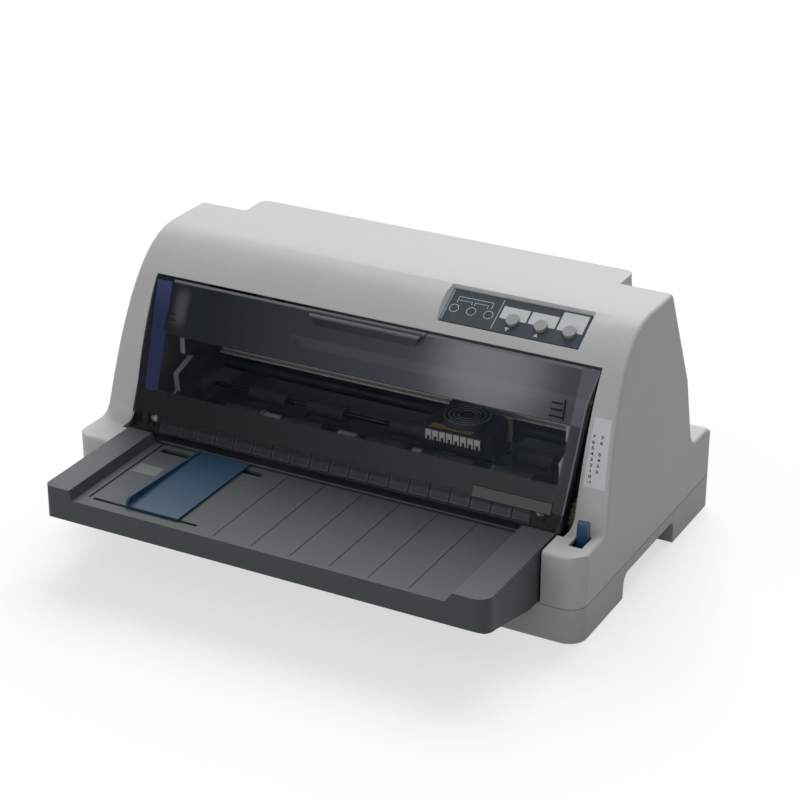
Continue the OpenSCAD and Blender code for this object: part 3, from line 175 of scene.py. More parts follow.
floor_paint = bpy.data.materials.new("white_studio_floor")
floor_paint.use_nodes = True
floor_tree = floor_paint.node_tree
floor_tree.nodes.clear()
floor_matt = add(floor_tree, "BsdfDiffuse", {"Color": grey(FLOOR_ALBEDO)})
floor_own = add(floor_tree, "Emission", {"Color": grey(1), "Strength": FLOOR_OWN_LIGHT})
floor_seen = add(floor_tree, "MixShader", {"Fac": FLOOR_OWN_SHARE, 1: floor_matt, 2: floor_own})
floor_lit = add(floor_tree, "BsdfDiffuse", {"Color": grey(FLOOR_BOUNCE)})
floor_both = add(floor_tree, "MixShader", {"Fac": seen_directly(floor_tree), 1: floor_lit, 2: floor_seen})
add(floor_tree, "OutputMaterial", {"Surface": floor_both})
floor_corners = [(x * FLOOR_REACH, y * FLOOR_REACH, 0) for x, y in ((-1, -1), (1, -1), (1, 1), (-1, 1))]
floor = made_of([(0, 1, 2, 3)], floor_corners, "floor", floor_paint)


# Materials. Every pattern is placed by the object's own coordinates, so it moves with the piece.


def new_material(name, **shader):
    """A material with one Principled shader. Returns the material, its node tree and the shader."""
    material = bpy.data.materials.new(name)
    material.use_nodes = True
    tree = material.node_tree
    tree.nodes.clear()
    surface = add(tree, "BsdfPrincipled", {key.replace("_", " "): value for key, value in shader.items()})
    add(tree, "OutputMaterial", {"Surface": surface.outputs["BSDF"]})
    return material, tree, surface


def reopened(material):
    """The node tree of a material, its shader, and the socket that colours the shader so far."""
    tree = material.node_tree
    surface = next(node for node in tree.nodes if node.type == "BSDF_PRINCIPLED")
    return tree, surface, surface.inputs["Base Color"].links[0].from_socket


def carve(tree, surface, height, depth, strength, edge):
    """Gives a surface its fine relief, depth deep, on edges that are rounded by edge."""
    round_edges = add(tree, "Bevel", {"Radius": edge / 1000}, samples=4)
    bump = {"Height": height, "Distance": depth / 1000, "Strength": strength, "Normal": round_edges}
    tree.links.new(add(tree, "Bump", bump).outputs[0], surface.inputs["Normal"])


def moulded(name, dark, light, roughness=0.5, grain=0.9, depth=0.015, edge=0.4, ior=1.53, **shader):
    """Injection moulded plastic: an even spark-eroded grain, a dull sheen, faint flow marks and softly rounded edges.

    The real grain is near 0.15 mm. It is drawn coarser, because it would not show at this distance.
    """
    material, tree, surface = new_material(name, Roughness=roughness, IOR=ior, **shader)
    where = add(tree, "TexCoord").outputs["Object"]
    flow = add(tree, "TexNoise", {"Vector": where, "Scale": 1000 / FLOW_MARKS, "Detail": 3.0})
    mottle = add(tree, "TexNoise", {"Vector": where, "Scale": 1000 / (grain * 2.2), "Detail": 2.0})
    mottle = add(tree, "Math", {0: mottle, 1: 0.5}, operation="MULTIPLY")
    blend = add(tree, "Math", {0: flow, 1: mottle}, operation="ADD")
    tone = add(tree, "MapRange", {"Value": blend, "From Min": 0.5, "From Max": 1.0})
    shade = add(tree, "Mix", {0: tone, 6: linear(dark), 7: linear(light)}, data_type="RGBA")
    tree.links.new(shade.outputs[2], surface.inputs["Base Color"])
    dull = {"Value": flow, "From Min": 0.3, "From Max": 0.7, "To Min": roughness - 0.05, "To Max": roughness + 0.07}
    tree.links.new(add(tree, "MapRange", dull).outputs[0], surface.inputs["Roughness"])
    pits = add(tree, "TexNoise", {"Vector": where, "Scale": 1000 / grain, "Detail": 1.0})
    carve(tree, surface, pits, depth, 0.8, edge)
    return material


def worked_metal(name, dark, light, roughness, lines=(1, 1, 1), grain=0.6, depth=0.006, edge=0.15):
    """Bare or plated metal. Lines longer than 1 draw its marks out along that axis, as rolling or grinding does."""
    material, tree, surface = new_material(name, Roughness=roughness, Metallic=1.0)
    where = add(tree, "TexCoord").outputs["Object"]
    along = add(tree, "Mapping", {"Vector": where, "Scale": [1 / s for s in lines]})
    marks = add(tree, "TexNoise", {"Vector": along, "Scale": 1000 / grain, "Detail": 3.0})
    cloud = add(tree, "TexNoise", {"Vector": where, "Scale": 1000 / PLATING_CLOUDS, "Detail": 4.0})
    tone = add(tree, "MapRange", {"Value": cloud, "From Min": 0.3, "From Max": 0.7})
    shade = add(tree, "Mix", {0: tone, 6: linear(dark), 7: linear(light)}, data_type="RGBA")
    tree.links.new(shade.outputs[2], surface.inputs["Base Color"])
    dull = {"Value": marks, "From Min": 0.3, "From Max": 0.7, "To Min": roughness - 0.08, "To Max": roughness + 0.1}
    tree.links.new(add(tree, "MapRange", dull).outputs[0], surface.inputs["Roughness"])
    carve(tree, surface, marks, depth, 1.0, edge)
    return material


def painted_beyond(material, direction, reach, code, soft=0.2):
    """Gives the part of a surface that lies more than reach along a direction another colour."""
    tree, surface, under = reopened(material)
    where = add(tree, "TexCoord").outputs["Object"]
    along = add(tree, "VectorMath", {0: where, 1: direction}, operation="DOT_PRODUCT").outputs["Value"]
    far = add(tree, "MapRange", {"Value": along, "From Min": reach / 1000, "From Max": (reach + soft) / 1000})
    both = add(tree, "Mix", {0: far, 6: under, 7: linear(code)}, data_type="RGBA")
    tree.links.new(both.outputs[2], surface.inputs["Base Color"])
    return material


# Moulded ABS, light grey: matt, evenly grained shells whose edges catch a soft line of light.
CASE_LIGHT = moulded("moulded_abs_light_grey", "#bdbdbd", "#c5c5c5", 0.58, Specular_IOR_Level=0.15)
# The same ABS a shade darker.
CASE_BASE = moulded("moulded_abs_base_grey", "#b0b0b0", "#b8b8b7", 0.58, Specular_IOR_Level=0.15)
# Moulded ABS in a dark neutral grey, with a finer, slightly shinier grain where paper slides over it.
TRAY_GREY = moulded("moulded_abs_tray_grey", "#44484a", "#4c5052", 0.5, grain=0.7, Specular_IOR_Level=0.2)
# Moulded ABS coloured right through, deep blue: smooth enough to pick up a pale sheen on its top.
GUIDE_BLUE = moulded("moulded_abs_deep_blue", "#1d3a52", "#24425b", 0.4, grain=0.6, depth=0.008, Specular_IOR_Level=0.2)
# Acetal, blue: slick, a little brighter than the guide.
LEVER_BLUE = moulded("moulded_acetal_lever_blue", "#1d4162", "#244a6d", 0.36, grain=0.6, depth=0.01, ior=1.48)
# Moulded ABS key tops: fine matt grain, with a wide soft light on the rounded edge.
BUTTON_GREY = moulded("moulded_abs_key_grey", "#868989", "#8f9291", 0.45, edge=0.7)
# Glass-filled polycarbonate, black: dull, with a slightly mottled skin.
WORKS_BLACK = moulded("moulded_polycarbonate_black", "#16171a", "#1f2023", 0.5, depth=0.02)
# Glass-filled polycarbonate, charcoal: the paper beds, polished a little by paper.
BED_CHARCOAL = moulded("moulded_polycarbonate_charcoal", "#26282c", "#2f3135", 0.45)
# The front bed's comb is pale above a height, at the tips of its teeth.
COMB_CHARCOAL = painted_beyond(
    moulded("moulded_polycarbonate_comb", "#26282c", "#2f3135", 0.45), UP, COMB_TIPS, "#6f7277"
)
# Nylon, natural white: the connector's terminals, with painted shade deep in the gaps between and below them.
TERMINAL_WHITE = painted_beyond(
    moulded("moulded_nylon_white", "#dcdcd6", "#e8e8e3", 0.45, grain=0.5, edge=0.2), BACK, TERMINAL_GAP_SHADE, "#141416"
)
# Acetal, natural: gears and pulleys, waxy off-white.
GEAR_ACETAL = moulded(
    "moulded_acetal_natural", "#cfcdc0", "#dcdacd", 0.38, grain=0.6, depth=0.008, edge=0.2, ior=1.48
)
# Polyethylene edge trim: pale grey, waxy.
TRIM_GREY = moulded(
    "extruded_polyethylene_trim", "#d9dbdf", "#e4e6ea", 0.5, grain=0.6, depth=0.008, edge=0.2, ior=1.51
)
# Nitrile rubber feet: dead matt, a little dusty.
FOOT_RUBBER = moulded("moulded_nitrile_rubber", "#1c1c1c", "#2a2a29", 0.85, grain=0.8, depth=0.03, ior=1.52)
# Neoprene belt: matt black with a slight sheen on its back.
BELT_RUBBER = moulded("moulded_neoprene_belt", "#151515", "#1e1e1e", 0.7, grain=0.5, depth=0.02, edge=0.2)
# Phenolic and PBT in the sockets: plain black, smoother than the works.
SOCKET_BLACK = moulded("moulded_pbt_black", "#1a1b1c", "#222324", 0.38, grain=0.5, depth=0.01)

# Rolled sheet steel with bright zinc plating: faint rolling lines along X, cloudy plating.
SHEET_STEEL = worked_metal("zinc_plated_sheet_steel", "#9c9fa1", "#b4b7b9", 0.42, lines=(14, 1, 1))
# The side frames' sheet is rolled along Y. Its cut edges are painted pale and dull, a painted highlight where they
# catch light.
FRAME_STEEL = worked_metal("zinc_plated_frame_steel", "#67696b", "#7e8083", 0.45, lines=(1, 14, 1))
frame_tree, frame_surface, plated = reopened(FRAME_STEEL)
faces_out = add(frame_tree, "SeparateXYZ", {0: add(frame_tree, "TexCoord").outputs["Normal"]})
sideways = add(frame_tree, "Math", {0: faces_out}, operation="ABSOLUTE")
sheet_face = add(frame_tree, "Math", {0: sideways, 1: 0.5}, operation="GREATER_THAN")
# Faces that don't look sideways, the cut edges, are painted pale and non-metallic: a painted highlight.
edge_highlight_or_face = add(frame_tree, "Mix", {0: sheet_face, 6: linear("#d4d5d8"), 7: plated}, data_type="RGBA")
frame_tree.links.new(edge_highlight_or_face.outputs[2], frame_surface.inputs["Base Color"])
frame_tree.links.new(sheet_face.outputs[0], frame_surface.inputs["Metallic"])
# Ground and polished carbon steel: a bright, narrow highlight. Its rings, 0.02 mm apart, are drawn as a faint waviness.
SHAFT_STEEL = worked_metal("ground_shaft_steel", "#9da0a3", "#acafb2", 0.36, lines=(1, 12, 12), grain=5, depth=0.0002)
# The carriage's shaft is blackened and oiled: dark, with a thin soft highlight.
OILED_STEEL = worked_metal(
    "blackened_oiled_steel", "#1f2123", "#2b2d31", 0.45, lines=(1, 12, 12), grain=5, depth=0.0006
)
# Black passivated steel motor cans: dark grey, cloudy, with a dull sheen.
CAN_STEEL = worked_metal("black_passivated_steel", "#1e1f21", "#2c2d30", 0.5, grain=0.8)
# Zinc-plated steel screws and sockets: bright, rubbed in places.
ZINC_STEEL = worked_metal("zinc_plated_bright_steel", "#a6a8aa", "#c3c5c8", 0.34, grain=0.8)
# Thin stainless foil: bright and smooth, with fine rolling lines along X.
MASK_STEEL = worked_metal("stainless_foil", "#a9acb0", "#c2c5c9", 0.3, lines=(14, 1, 1), grain=0.4, depth=0.003)
# Turned brass: rings from the lathe, a warm yellow.
PINION_BRASS = worked_metal("turned_brass", "#b08d4a", "#c6a35c", 0.3, lines=(1, 10, 10), grain=0.4)
# Die-cast aluminium under a black anodised skin: dark and slightly sandy, with a painted highlight in grey on the tips
# of the fins.
HEAD_ALUMINIUM = painted_beyond(
    moulded("die_cast_aluminium_black", "#26282b", "#34363a", 0.5, depth=0.012, Metallic=0.3),
    UP, FIN_TIPS, "#7d8084",
)

# Powder coated steel, pale grey: the rail's flange, the lightest thing behind the cover, with a faint orange-peel
# surface. Its upright is painted dark: painted shade for the dark gap behind the rail.
RAIL_PALE = painted_beyond(
    moulded("powder_coated_steel_pale_grey", "#e6e5df", "#f0efe9", 0.5, grain=1.6, depth=0.02, edge=0.25),
    UP, RAIL_UPRIGHT_SHADE, "#151619",
)
# The same coating on the small bracket, in cream.
CREAM_STEEL = moulded("powder_coated_steel_cream", "#e6dfca", "#efe9d6", 0.5, grain=1.6, depth=0.02, edge=0.25)
# Printed label film: pale and matt, its texture barely visible.
SCALE_PAPER = moulded(
    "printed_label_film", "#cfced3", "#d6d5da", 0.55, grain=1.1, depth=0.004, edge=0.05, ior=1.5
)
# Screen-printed polyester overlay: slate ink under a fine velvet film.
PANEL_SLATE = moulded(
    "screen_printed_polyester_slate", "#323a40", "#384147", 0.6, grain=0.8, depth=0.008, edge=0.2, ior=1.5,
    Specular_IOR_Level=0.25,
)


def rubber_on_steel(name, shaft, axis, collars=()):
    """Ground rubber sleeves on a steel shaft, which shows within a radius of its axis, given as (y, z).

    Collars are stretches along X that carry pale acetal rings instead of rubber.
    """
    material, tree, surface = new_material(name, IOR=1.52)
    where = add(tree, "TexCoord").outputs["Object"]
    place = add(tree, "VectorMath", {0: where, "Scale": 1000}, operation="SCALE")
    x = add(tree, "SeparateXYZ", {0: place})
    flat = add(tree, "VectorMath", {0: place, 1: (0, 1, 1)}, operation="MULTIPLY")
    radius = add(tree, "VectorMath", {0: flat, 1: (0, *axis)}, operation="DISTANCE").outputs["Value"]
    steel = add(tree, "Math", {0: radius, 1: shaft}, operation="LESS_THAN")
    bloom = add(tree, "TexNoise", {"Vector": where, "Scale": 1000 / RUBBER_BLOOM, "Detail": 4.0})
    tone = add(tree, "MapRange", {"Value": bloom, "From Min": 0.3, "From Max": 0.7})
    colour = add(tree, "Mix", {0: tone, 6: linear("#34373b"), 7: linear("#44474c")}, data_type="RGBA")
    for x0, x1 in collars:
        collar = add(tree, "Math", {0: x, 1: (x0 + x1) / 2, 2: (x1 - x0) / 2}, operation="COMPARE")
        colour = add(tree, "Mix", {0: collar, 6: colour.outputs[2], 7: linear("#a5a8ab")}, data_type="RGBA")
    colour = add(tree, "Mix", {0: steel, 6: colour.outputs[2], 7: linear("#2b2d30")}, data_type="RGBA")
    tree.links.new(colour.outputs[2], surface.inputs["Base Color"])
    tree.links.new(steel.outputs[0], surface.inputs["Metallic"])
    dull = add(tree, "MapRange", {"Value": steel, "To Min": 0.72, "To Max": 0.28})
    tree.links.new(dull.outputs[0], surface.inputs["Roughness"])
    rings = add(tree, "Mapping", {"Vector": where, "Scale": (1, 0.1, 0.1)})
    ground = add(tree, "TexNoise", {"Vector": rings, "Scale": 1000 / GRINDING_MARKS, "Detail": 2.0})
    carve(tree, surface, ground, 0.02, 0.8, 0.3)
    return material


# Ground rubber rollers: matt and dark with a faint grey bloom, on blackened shafts.
COLLARS = ((-90, -74.5), (-28, -12), (29, 37), (84, 92), (124, 136))
FRONT_PINCH = rubber_on_steel("ground_rubber_front_pinch", PINCH_SHAFT, (FRONT_ROLLERS_Y, PINCH_Z), COLLARS)
REAR_PINCH = rubber_on_steel("ground_rubber_rear_pinch", PINCH_SHAFT, (REAR_ROLLERS_Y, PINCH_Z))
FRONT_FEED = rubber_on_steel("ground_rubber_front_feed", FEED_SHAFT, (FRONT_ROLLERS_Y, FEED_Z))
REAR_FEED = rubber_on_steel("ground_rubber_rear_feed", FEED_SHAFT, (REAR_ROLLERS_Y, FEED_Z))
# Hard rubber, ground: the platen is a dark, even bar with no shaft.
PLATEN_RUBBER = moulded("ground_platen_rubber", "#161718", "#202122", 0.66, grain=0.8, depth=0.02)


def circuit_board(name, up, height):
    """Glass-epoxy board under green solder mask, with copper tracks in relief. Beyond height along up, parts are black.

    Tracks are about 0.5 mm wide, and pads stand on a 5.08 mm grid, twice the pitch of the parts' legs.
    """
    material, tree, surface = new_material(name, Roughness=0.35, IOR=1.55)
    where = add(tree, "TexCoord").outputs["Object"]
    grid = {"Vector": where, "Scale": 1000 / PAD_GRID, "Randomness": 0.0}
    grid = add(tree, "TexVoronoi", grid, distance="MANHATTAN")
    runs = add(tree, "TexNoise", {"Vector": where, "Scale": 1000 / TRACK_RUNS, "Detail": 2.0})
    runs = add(tree, "Math", {0: runs, 1: 22.0}, operation="MULTIPLY")
    tracks = add(tree, "Math", {0: runs, 1: 1.0}, operation="PINGPONG")
    copper = add(tree, "Math", {0: tracks, 1: 0.62}, operation="GREATER_THAN")
    mask = add(tree, "Mix", {0: copper, 6: linear("#1e4a30"), 7: linear("#2d6440")}, data_type="RGBA")
    pads = add(tree, "Math", {0: grid, 1: 0.16}, operation="LESS_THAN")
    dotted = add(tree, "Mix", {0: pads, 6: mask.outputs[2], 7: linear("#a9a48c")}, data_type="RGBA")
    level = add(tree, "VectorMath", {0: where, 1: up}, operation="DOT_PRODUCT").outputs["Value"]
    parts = add(tree, "Math", {0: level, 1: height / 1000}, operation="GREATER_THAN")
    colour = add(tree, "Mix", {0: parts, 6: dotted.outputs[2], 7: linear("#1b1c1e")}, data_type="RGBA")
    tree.links.new(colour.outputs[2], surface.inputs["Base Color"])
    relief = add(tree, "Bump", {"Height": copper, "Distance": 0.05 / 1000, "Strength": 0.7})
    tree.links.new(relief.outputs[0], surface.inputs["Normal"])
    return material


def slopes(tilt):
    """The directions up a tilted plane and out of it."""
    tilt = math.radians(tilt)
    return Vector((0, math.cos(tilt), math.sin(tilt))), Vector((0, -math.sin(tilt), math.cos(tilt)))


MAIN_BOARD = circuit_board("glass_epoxy_main_board", UP, MAIN_BOARD_TOP)
PANEL_OUT = slopes(PANEL_TILT)[1]
PANEL_BOARD = circuit_board("glass_epoxy_panel_board", PANEL_OUT, PANEL_FOOT.dot(PANEL_OUT) + PANEL_BOARD_TOP)

# Polycarbonate indicator lenses over a dark diffuser: a satin face, slightly cloudy.
LENS_GREY, lens_tree, lens_surface = new_material(
    "polycarbonate_lens", Roughness=0.3, IOR=1.58, Specular_IOR_Level=0.15
)
lens_where = add(lens_tree, "TexCoord").outputs["Object"]
lens_haze = add(lens_tree, "TexNoise", {"Vector": lens_where, "Scale": 1000 / LENS_CLOUDS, "Detail": 2.0})
lens_colour = add(lens_tree, "Mix", {0: lens_haze, 6: linear("#2f383e"), 7: linear("#475056")}, data_type="RGBA")
lens_tree.links.new(lens_colour.outputs[2], lens_surface.inputs["Base Color"])


def on_cover(tree, where):
    """A place across the printer, up the cover from its foot and out of the cover's plane, and the place itself."""
    place = add(tree, "VectorMath", {0: where, "Scale": 1000}, operation="SCALE")
    from_foot = add(tree, "VectorMath", {0: place, 1: COVER_FOOT}, operation="SUBTRACT")
    x = add(tree, "SeparateXYZ", {0: place}).outputs[0]
    u, n = (
        add(tree, "VectorMath", {0: from_foot, 1: way}, operation="DOT_PRODUCT").outputs["Value"]
        for way in slopes(COVER_TILT)
    )
    return x, u, n, place


# The cover's window: its foot and head up the cover, and the borders beside it, across the printer.
WINDOW_FOOT, WINDOW_HEAD = 29.3, 69.1
BORDER_LEFT, BORDER_RIGHT = -154.0, 156.8
# The middle of the painted reflection on the cover's frosted part, where it is palest, and of the smear on it, which is
# given across the printer and up the cover.
PAINTED_REFLECTION_MIDDLE, SMEAR = (94, -9.5, 148.6), (-144.5, 89)


def smoked(name):
    """Smoked acrylic, moulded. It is frosted above its window, clear in the window and browner below it.

    Light comes through by alpha, so the works behind show darkened, as through a 2 mm sheet.
    """
    material, tree, surface = new_material(name, IOR=1.49, Specular_IOR_Level=0.06)
    where = add(tree, "TexCoord").outputs["Object"]
    x, u, n, place = on_cover(tree, where)
    near = add(tree, "VectorMath", {0: place, 1: PAINTED_REFLECTION_MIDDLE}, operation="DISTANCE").outputs["Value"]
    aside = add(tree, "Math", {0: x, 1: SMEAR[0]}, operation="SUBTRACT")
    aside = add(tree, "Math", {0: aside}, operation="ABSOLUTE")
    apart = add(tree, "Math", {0: u, 1: SMEAR[1]}, operation="SUBTRACT")
    apart = add(tree, "Math", {0: apart}, operation="ABSOLUTE")
    # The turned-in side at the right widens towards the foot.
    flare = {"Value": u, "From Min": 84, "From Max": 107, "To Min": 165.2, "To Max": 169.5}
    past = add(tree, "Math", {0: x, 1: add(tree, "MapRange", flare)}, operation="SUBTRACT")
    # Each zone goes from 0 to 1 between two values of what it is measured by.
    zone = {
        key: add(tree, "MapRange", {"Value": by, "From Min": start, "From Max": end}, interpolation_type=kind)
        for key, by, start, end, kind in (
            ("above", u, WINDOW_HEAD - 0.7, WINDOW_HEAD + 0.7, "SMOOTHSTEP"),
            ("below", u, WINDOW_FOOT + 0.5, WINDOW_FOOT - 0.5, "LINEAR"),
            ("cells", u, 12.5, 10.5, "LINEAR"),
            ("top edge", u, 105.2, 106, "LINEAR"),
            ("left", x, BORDER_LEFT + 0.5, BORDER_LEFT - 0.5, "LINEAR"),
            ("right", x, BORDER_RIGHT - 0.6, BORDER_RIGHT + 0.6, "LINEAR"),
            ("edge line", past, -1.2, -0.6, "LINEAR"),
            ("turned in", past, -0.2, 0.2, "LINEAR"),
            ("behind the sheet", n, -2.4, -3.2, "LINEAR"),
            ("crest", n, 3.4, 4.6, "LINEAR"),
            ("frost to the right", x, -120, 40, "LINEAR"),
            ("window to the right", x, 20, 120, "LINEAR"),
            ("band to the right", x, -120, 100, "LINEAR"),
            ("palest", near, 66, 8, "SMOOTHERSTEP"),
            ("aside", aside, 9, 0, "SMOOTHERSTEP"),
            ("apart", apart, 19, 3, "SMOOTHERSTEP"),
        )
    }
    border = add(tree, "Math", {0: zone["right"], 1: zone["left"]}, operation="MAXIMUM")
    frosted = add(tree, "Math", {0: zone["above"], 1: border}, operation="MAXIMUM")
    smear = add(tree, "Math", {0: zone["aside"], 1: zone["apart"]}, operation="MULTIPLY")
    # Painted highlight: the grip's crest and the cover's top edge are given a paler colour.
    lit = add(tree, "Math", {0: zone["crest"], 1: zone["top edge"]}, operation="MAXIMUM")
    long = add(tree, "Mapping", {"Vector": where, "Scale": (1, 0.2, 0.2)})
    streaks = add(tree, "TexNoise", {"Vector": long, "Scale": 1000 / FLOW_STREAKS, "Detail": 2.0})
    streaks = add(tree, "Math", {0: streaks, 1: 0.35}, operation="MULTIPLY")
    # Layers of colour, each laid over another by a share from 0 to 1. A colour is a hex code or an earlier layer.
    layer = {}
    for key, share, under, top in (
        # The frosted part carries a painted reflection: dark on the left and palest at the upper right. A soft upright
        # smear is near its left end, and the grip's crest and the top edge carry a painted highlight.
        ("frost", zone["frost to the right"], "#21282c", "#51555b"),
        ("frost", zone["palest"], "frost", "#96959b"),
        ("frost", smear, "frost", "#55565b"),
        ("frost", lit, "frost", "#85848d"),
        # The right border is pale beside the frosted part and darker beside the window, and the left one is dark.
        ("margin", zone["above"], "#484a50", "#6e6d75"),
        ("frost", zone["right"], "frost", "margin"),
        ("frost", zone["left"], "frost", "#1c1e2c"),
        # The window's colour is a painted reflection of the room: blue black, greyer towards the right.
        ("window", zone["window to the right"], "#1c2a31", "#43505c"),
        ("sheet", frosted, "window", "frost"),
        # The band below it is moulded thicker: brown black at the left, paler to the right, with faint flow streaks.
        ("band", zone["band to the right"], "#1c1d21", "#4b4b4f"),
        ("band", streaks, "band", "#35332f"),
        ("sheet", zone["below"], "sheet", "band"),
        # A painted highlight runs up the sheet's right edge as a bright line, before its dark turned-in side.
        ("sheet", zone["edge line"], "sheet", "#86868d"),
        ("sheet", zone["turned in"], "sheet", "#2b292c"),
        # Side walls and ears.
        ("sheet", zone["behind the sheet"], "sheet", "#15151a"),
    ):
        under, top = (linear(c) if c.startswith("#") else layer[c].outputs[2] for c in (under, top))
        layer[key] = add(tree, "Mix", {0: share, 6: under, 7: top}, data_type="RGBA")
    tree.links.new(layer["sheet"].outputs[2], surface.inputs["Base Color"])

    # The window lets most light through and the frosted part little. The band is clearest over the comb's cells.
    cells = add(tree, "Mix", {0: zone["cells"], 2: 0.8, 3: 0.22})
    dense = add(tree, "Mix", {0: frosted, 2: 0.12, 3: 0.9})
    dense = add(tree, "Mix", {0: zone["below"], 2: dense, 3: cells})
    dense = add(tree, "Mix", {0: zone["behind the sheet"], 2: dense, 3: 0.8})
    tree.links.new(dense.outputs[0], surface.inputs["Alpha"])
    matt = add(tree, "Mix", {0: frosted, 2: 0.12, 3: 0.42})
    matt = add(tree, "Mix", {0: zone["below"], 2: matt, 3: 0.3})
    tree.links.new(matt.outputs[0], surface.inputs["Roughness"])
    etched = add(tree, "TexNoise", {"Vector": where, "Scale": 1000 / ETCHING, "Detail": 1.0})
    etched = add(tree, "Math", {0: etched, 1: frosted}, operation="MULTIPLY")
    carve(tree, surface, etched, 0.01, 0.8, 0.5)
    return material


# The cells of the ribbed band, one for each gap between the ribs: where they start, their width, foot and head, and
# how thick the walls between them are.
CELLS_FROM, CELL_WIDE, CELL_FOOT, CELL_HEAD, CELL_WALL = -157.55, 15.1, 2.1, 11.3, 0.8


def ribbed(name):
    """Smoked acrylic behind the cover's foot. Its cells are bluish, and a painted highlight outlines them where their
    walls catch light.
    """
    material = moulded(name, "#14161c", "#1d2027", 0.3, depth=0.01, ior=1.49, Specular_IOR_Level=0.2)
    tree, surface, under = reopened(material)
    x, u, _, _ = on_cover(tree, add(tree, "TexCoord").outputs["Object"])
    # How deep a place is inside its cell, from the nearest wall, foot or head.
    from_wall = add(tree, "Math", {0: x, 1: CELLS_FROM}, operation="SUBTRACT")
    from_wall = add(tree, "Math", {0: from_wall, 1: CELL_WIDE / 2}, operation="PINGPONG")
    from_wall = add(tree, "Math", {0: from_wall, 1: CELL_WALL}, operation="SUBTRACT")
    from_foot = add(tree, "Math", {0: u, 1: CELL_FOOT}, operation="SUBTRACT")
    from_head = add(tree, "Math", {0: CELL_HEAD, 1: u}, operation="SUBTRACT")
    inside = add(tree, "Math", {0: from_wall, 1: from_foot}, operation="MINIMUM")
    inside = add(tree, "Math", {0: inside, 1: from_head}, operation="MINIMUM")
    # Cells and lines are paler to the right.
    paler = add(tree, "MapRange", {"Value": x, "From Min": -120, "From Max": 100})
    cell = add(tree, "Mix", {0: paler, 6: under, 7: linear("#4a4e58")}, data_type="RGBA")
    # The pale outline next to each cell's walls is a painted highlight.
    outline = add(tree, "Mix", {0: paler, 6: linear("#3d4250"), 7: linear("#6c6e76")}, data_type="RGBA")
    near = add(tree, "MapRange", {"Value": inside, "From Min": 0.9, "From Max": 0.6})
    colour = add(tree, "Mix", {0: near, 6: cell.outputs[2], 7: outline.outputs[2]}, data_type="RGBA")
    between = add(tree, "MapRange", {"Value": inside, "From Min": 0.2, "From Max": -0.1})
    colour = add(tree, "Mix", {0: between, 6: colour.outputs[2], 7: linear("#040405")}, data_type="RGBA")
    tree.links.new(colour.outputs[2], surface.inputs["Base Color"])
    return material


SMOKED = smoked("smoked_acrylic_cover")
SMOKED_RIBS = ribbed("smoked_acrylic_ribs")
# Bare name plate: printed film, plain grey.
PLATE_GREY = moulded(
    "printed_film_plain_grey", "#4a4b4a", "#525351", grain=0.7, depth=0.006, edge=0.1, Specular_IOR_Level=0.2
)
# Inks: matt and even, with the film's fine grain.
INK_BLACK = moulded(
    "screen_ink_black", "#08090a", "#0e0f10", 0.6, grain=0.5, depth=0.004, edge=0.03, Specular_IOR_Level=0.12
)
INK_WHITE = moulded("screen_ink_white", "#b3b8ba", "#bcc1c3", 0.55, grain=0.5, depth=0.004, edge=0.03)
# Bare adhesive labels: an ochre film on the head, a dull grey-green film on the tray.
LABEL_OCHRE = moulded("label_film_ochre", "#a38a35", "#b49a3f", grain=0.7, depth=0.004, edge=0.05)
LABEL_TRAY = moulded("label_film_grey_green", "#343a38", "#6b726f", grain=0.7, depth=0.004, edge=0.05)
# Printed film, violet blue: a fine speckle, deep at its foot and paler towards its head.
STRIP_BLUE, strip_tree, strip_surface = new_material(
    "printed_film_violet_blue", IOR=1.5, Roughness=0.35, Specular_IOR_Level=0.1
)
strip_where = add(strip_tree, "TexCoord").outputs["Object"]
strip_height = add(strip_tree, "SeparateXYZ", {0: strip_where}).outputs[2]
strip_fade = {"Value": strip_height, "From Min": 136 / 1000, "From Max": 158 / 1000}
strip_fade = add(strip_tree, "MapRange", strip_fade, interpolation_type="SMOOTHSTEP")
speckle = add(strip_tree, "TexNoise", {"Vector": strip_where, "Scale": 1000 / PRINT_SPECKLE, "Detail": 2.0})
strip_low = add(strip_tree, "Mix", {0: speckle, 6: linear("#1e2448"), 7: linear("#252b56")}, data_type="RGBA")
strip_high = add(strip_tree, "Mix", {0: speckle, 6: linear("#343a68"), 7: linear("#3f4576")}, data_type="RGBA")
strip_both = {0: strip_fade, 6: strip_low.outputs[2], 7: strip_high.outputs[2]}
strip_colour = add(strip_tree, "Mix", strip_both, data_type="RGBA")
strip_tree.links.new(strip_colour.outputs[2], strip_surface.inputs["Base Color"])

